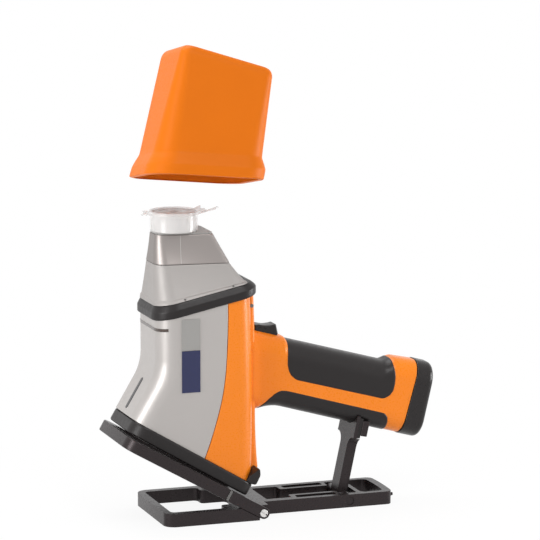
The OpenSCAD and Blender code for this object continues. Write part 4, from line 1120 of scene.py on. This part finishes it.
def make_floor(base):
    """A floor whose shader turns to plain white light for direct rays, by a share that rises with the
    distance from the object, so that its shadow stays and the rest runs into the white surround."""
    half, near, far, near_share = 6.0, 0.1, 0.32, 0.9
    mesh = bpy.data.meshes.new("floor")
    corners = [(-half, -half, 0), (half, -half, 0), (half, half, 0), (-half, half, 0)]
    mesh.from_pydata(corners, [], [(0, 1, 2, 3)])
    floor = bpy.data.objects.new("floor", mesh)
    bpy.context.scene.collection.objects.link(floor)
    mat, shader = new_material("floor_white", base, rough=0.6, specular=0.2)
    tree = mat.node_tree
    where = add_node(tree, "TexCoord")
    distance = add_node(tree, "VectorMath", {0: where.outputs["Object"]}, operation="LENGTH")
    spread = add_node(tree, "MapRange", {"Value": distance.outputs["Value"], "From Min": near,
                                         "From Max": far, "To Min": near_share, "To Max": 1.0})
    share = add_node(tree, "Math", {0: seen_directly(tree), 1: spread.outputs[0]}, operation="MULTIPLY")
    glow = add_node(tree, "Emission", {"Color": (1, 1, 1, 1), "Strength": 1.0})
    mix = add_node(tree, "MixShader", {0: share.outputs[0], 1: shader.outputs[0], 2: glow.outputs[0]})
    surface = next(n for n in tree.nodes if n.type == "OUTPUT_MATERIAL").inputs["Surface"]
    tree.links.new(mix.outputs[0], surface)
    mesh.materials.append(mat)


def make_surround(dim):
    """A world that is white for direct rays and lights the object with a dimmer white."""
    world = bpy.data.worlds.new("studio")
    bpy.context.scene.world = world
    world.use_nodes = True
    tree = world.node_tree
    tree.nodes.clear()
    plain, bright = (add_node(tree, "Background", {"Color": (1, 1, 1, 1), "Strength": v}) for v in (dim, 1.0))
    mix = add_node(tree, "MixShader", {0: seen_directly(tree), 1: plain.outputs[0], 2: bright.outputs[0]})
    add_node(tree, "OutputWorld", {"Surface": mix.outputs[0]})


def place(name, data, at, line):
    """Puts a lamp or camera in the scene, looking along a line."""
    thing = bpy.data.objects.new(name, data)
    bpy.context.scene.collection.objects.link(thing)
    thing.location = at
    thing.rotation_mode = "QUATERNION"
    thing.rotation_quaternion = line.to_track_quat("-Z", "Y")
    return thing


class MakeStage(bpy.types.Operator):
    """Makes the floor, the lamps, the white surround and the camera."""
    bl_idname = "analyser.stage"
    bl_label = "Floor, lamps and camera"

    def execute(self, context):
        stage, scene = context.scene.analyser_stage, context.scene
        scene.view_settings.view_transform = "Standard"
        make_floor(stage.floor)
        make_surround(dim=0.38)
        for name, at, aim, size, watts in (
                ("key_lamp", (-1.2, -0.4, 0.45), (-0.03, 0, 0.2), (0.5, 1.0), stage.key_power),
                ("fill_lamp", (1.05, -0.24, 0.2), (0.02, 0, 0.15), (0.45, 0.5), stage.fill_power),
                ("front_lamp", (0.13, -0.75, 1.2), (0.0, 0, 0.15), (0.42, 0.3), stage.front_power),
                ("top_lamp", (-0.2, 0.45, 1.3), (0.0, 0, 0.15), (0.9, 0.6), stage.top_power)):
            light = bpy.data.lights.new(name, "AREA")
            light.shape = "RECTANGLE"
            light.size, light.size_y = size
            light.energy = watts
            place(name, light, at, Vector(aim) - Vector(at))
        az, el = math.radians(CAMERA_AZ), math.radians(CAMERA_EL)
        data = bpy.data.cameras.new("camera")
        data.sensor_width, data.lens = SENSOR, FOCAL_PIXELS / PICTURE_PIXELS * SENSOR
        data.clip_start, data.clip_end = 0.1, 50.0
        line = Vector((math.sin(az) * math.cos(el), math.cos(az) * math.cos(el), -math.sin(el)))
        scene.camera = place("camera", data, CAMERA_AT, line)
        return {"FINISHED"}


PIECES = (MakeFrontShell, MakeSideShells, MakeHandle, MakeGrips, MakeBatteryCap, MakeBand, MakeNose,
          MakeBezel, MakeShield, MakeCup, MakeFilmFlaps, MakeTrigger, MakeSlot, MakeStand, MakeFeet, MakePins,
          PaintSmallPieces, MakeStage)
SETTINGS = (("analyser_housing", HousingSettings), ("analyser_stand", StandSettings),
            ("analyser_cup", CupSettings), ("analyser_shield", ShieldSettings),
            ("analyser_stage", StageSettings))


class AnalyserPanel(bpy.types.Panel):
    """Lists the operators and settings in the sidebar."""
    bl_idname = "VIEW3D_PT_analyser"
    bl_label = "Analyser"
    bl_space_type = "VIEW_3D"
    bl_region_type = "UI"
    bl_category = "Analyser"

    def draw(self, context):
        for kind in PIECES:
            self.layout.operator(kind.bl_idname)
        for name, kind in SETTINGS:
            box = self.layout.box()
            box.label(text=name.replace("analyser_", "").capitalize())
            for key in kind.__annotations__:
                box.prop(getattr(context.scene, name), key)


def register():
    """Registers the settings, the operators and the panel."""
    for name, kind in SETTINGS:
        bpy.utils.register_class(kind)
        setattr(bpy.types.Scene, name, PointerProperty(type=kind))
    for kind in (*PIECES, AnalyserPanel):
        bpy.utils.register_class(kind)


def unregister():
    """Takes them away again."""
    for kind in reversed((*PIECES, AnalyserPanel)):
        bpy.utils.unregister_class(kind)
    for name, kind in reversed(SETTINGS):
        delattr(bpy.types.Scene, name)
        bpy.utils.unregister_class(kind)


def main():
    """Registers the add-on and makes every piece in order."""
    register()
    for kind in PIECES:
        group, name = kind.bl_idname.split(".")
        getattr(getattr(bpy.ops, group), name)()


if __name__ == "__main__":
    main()
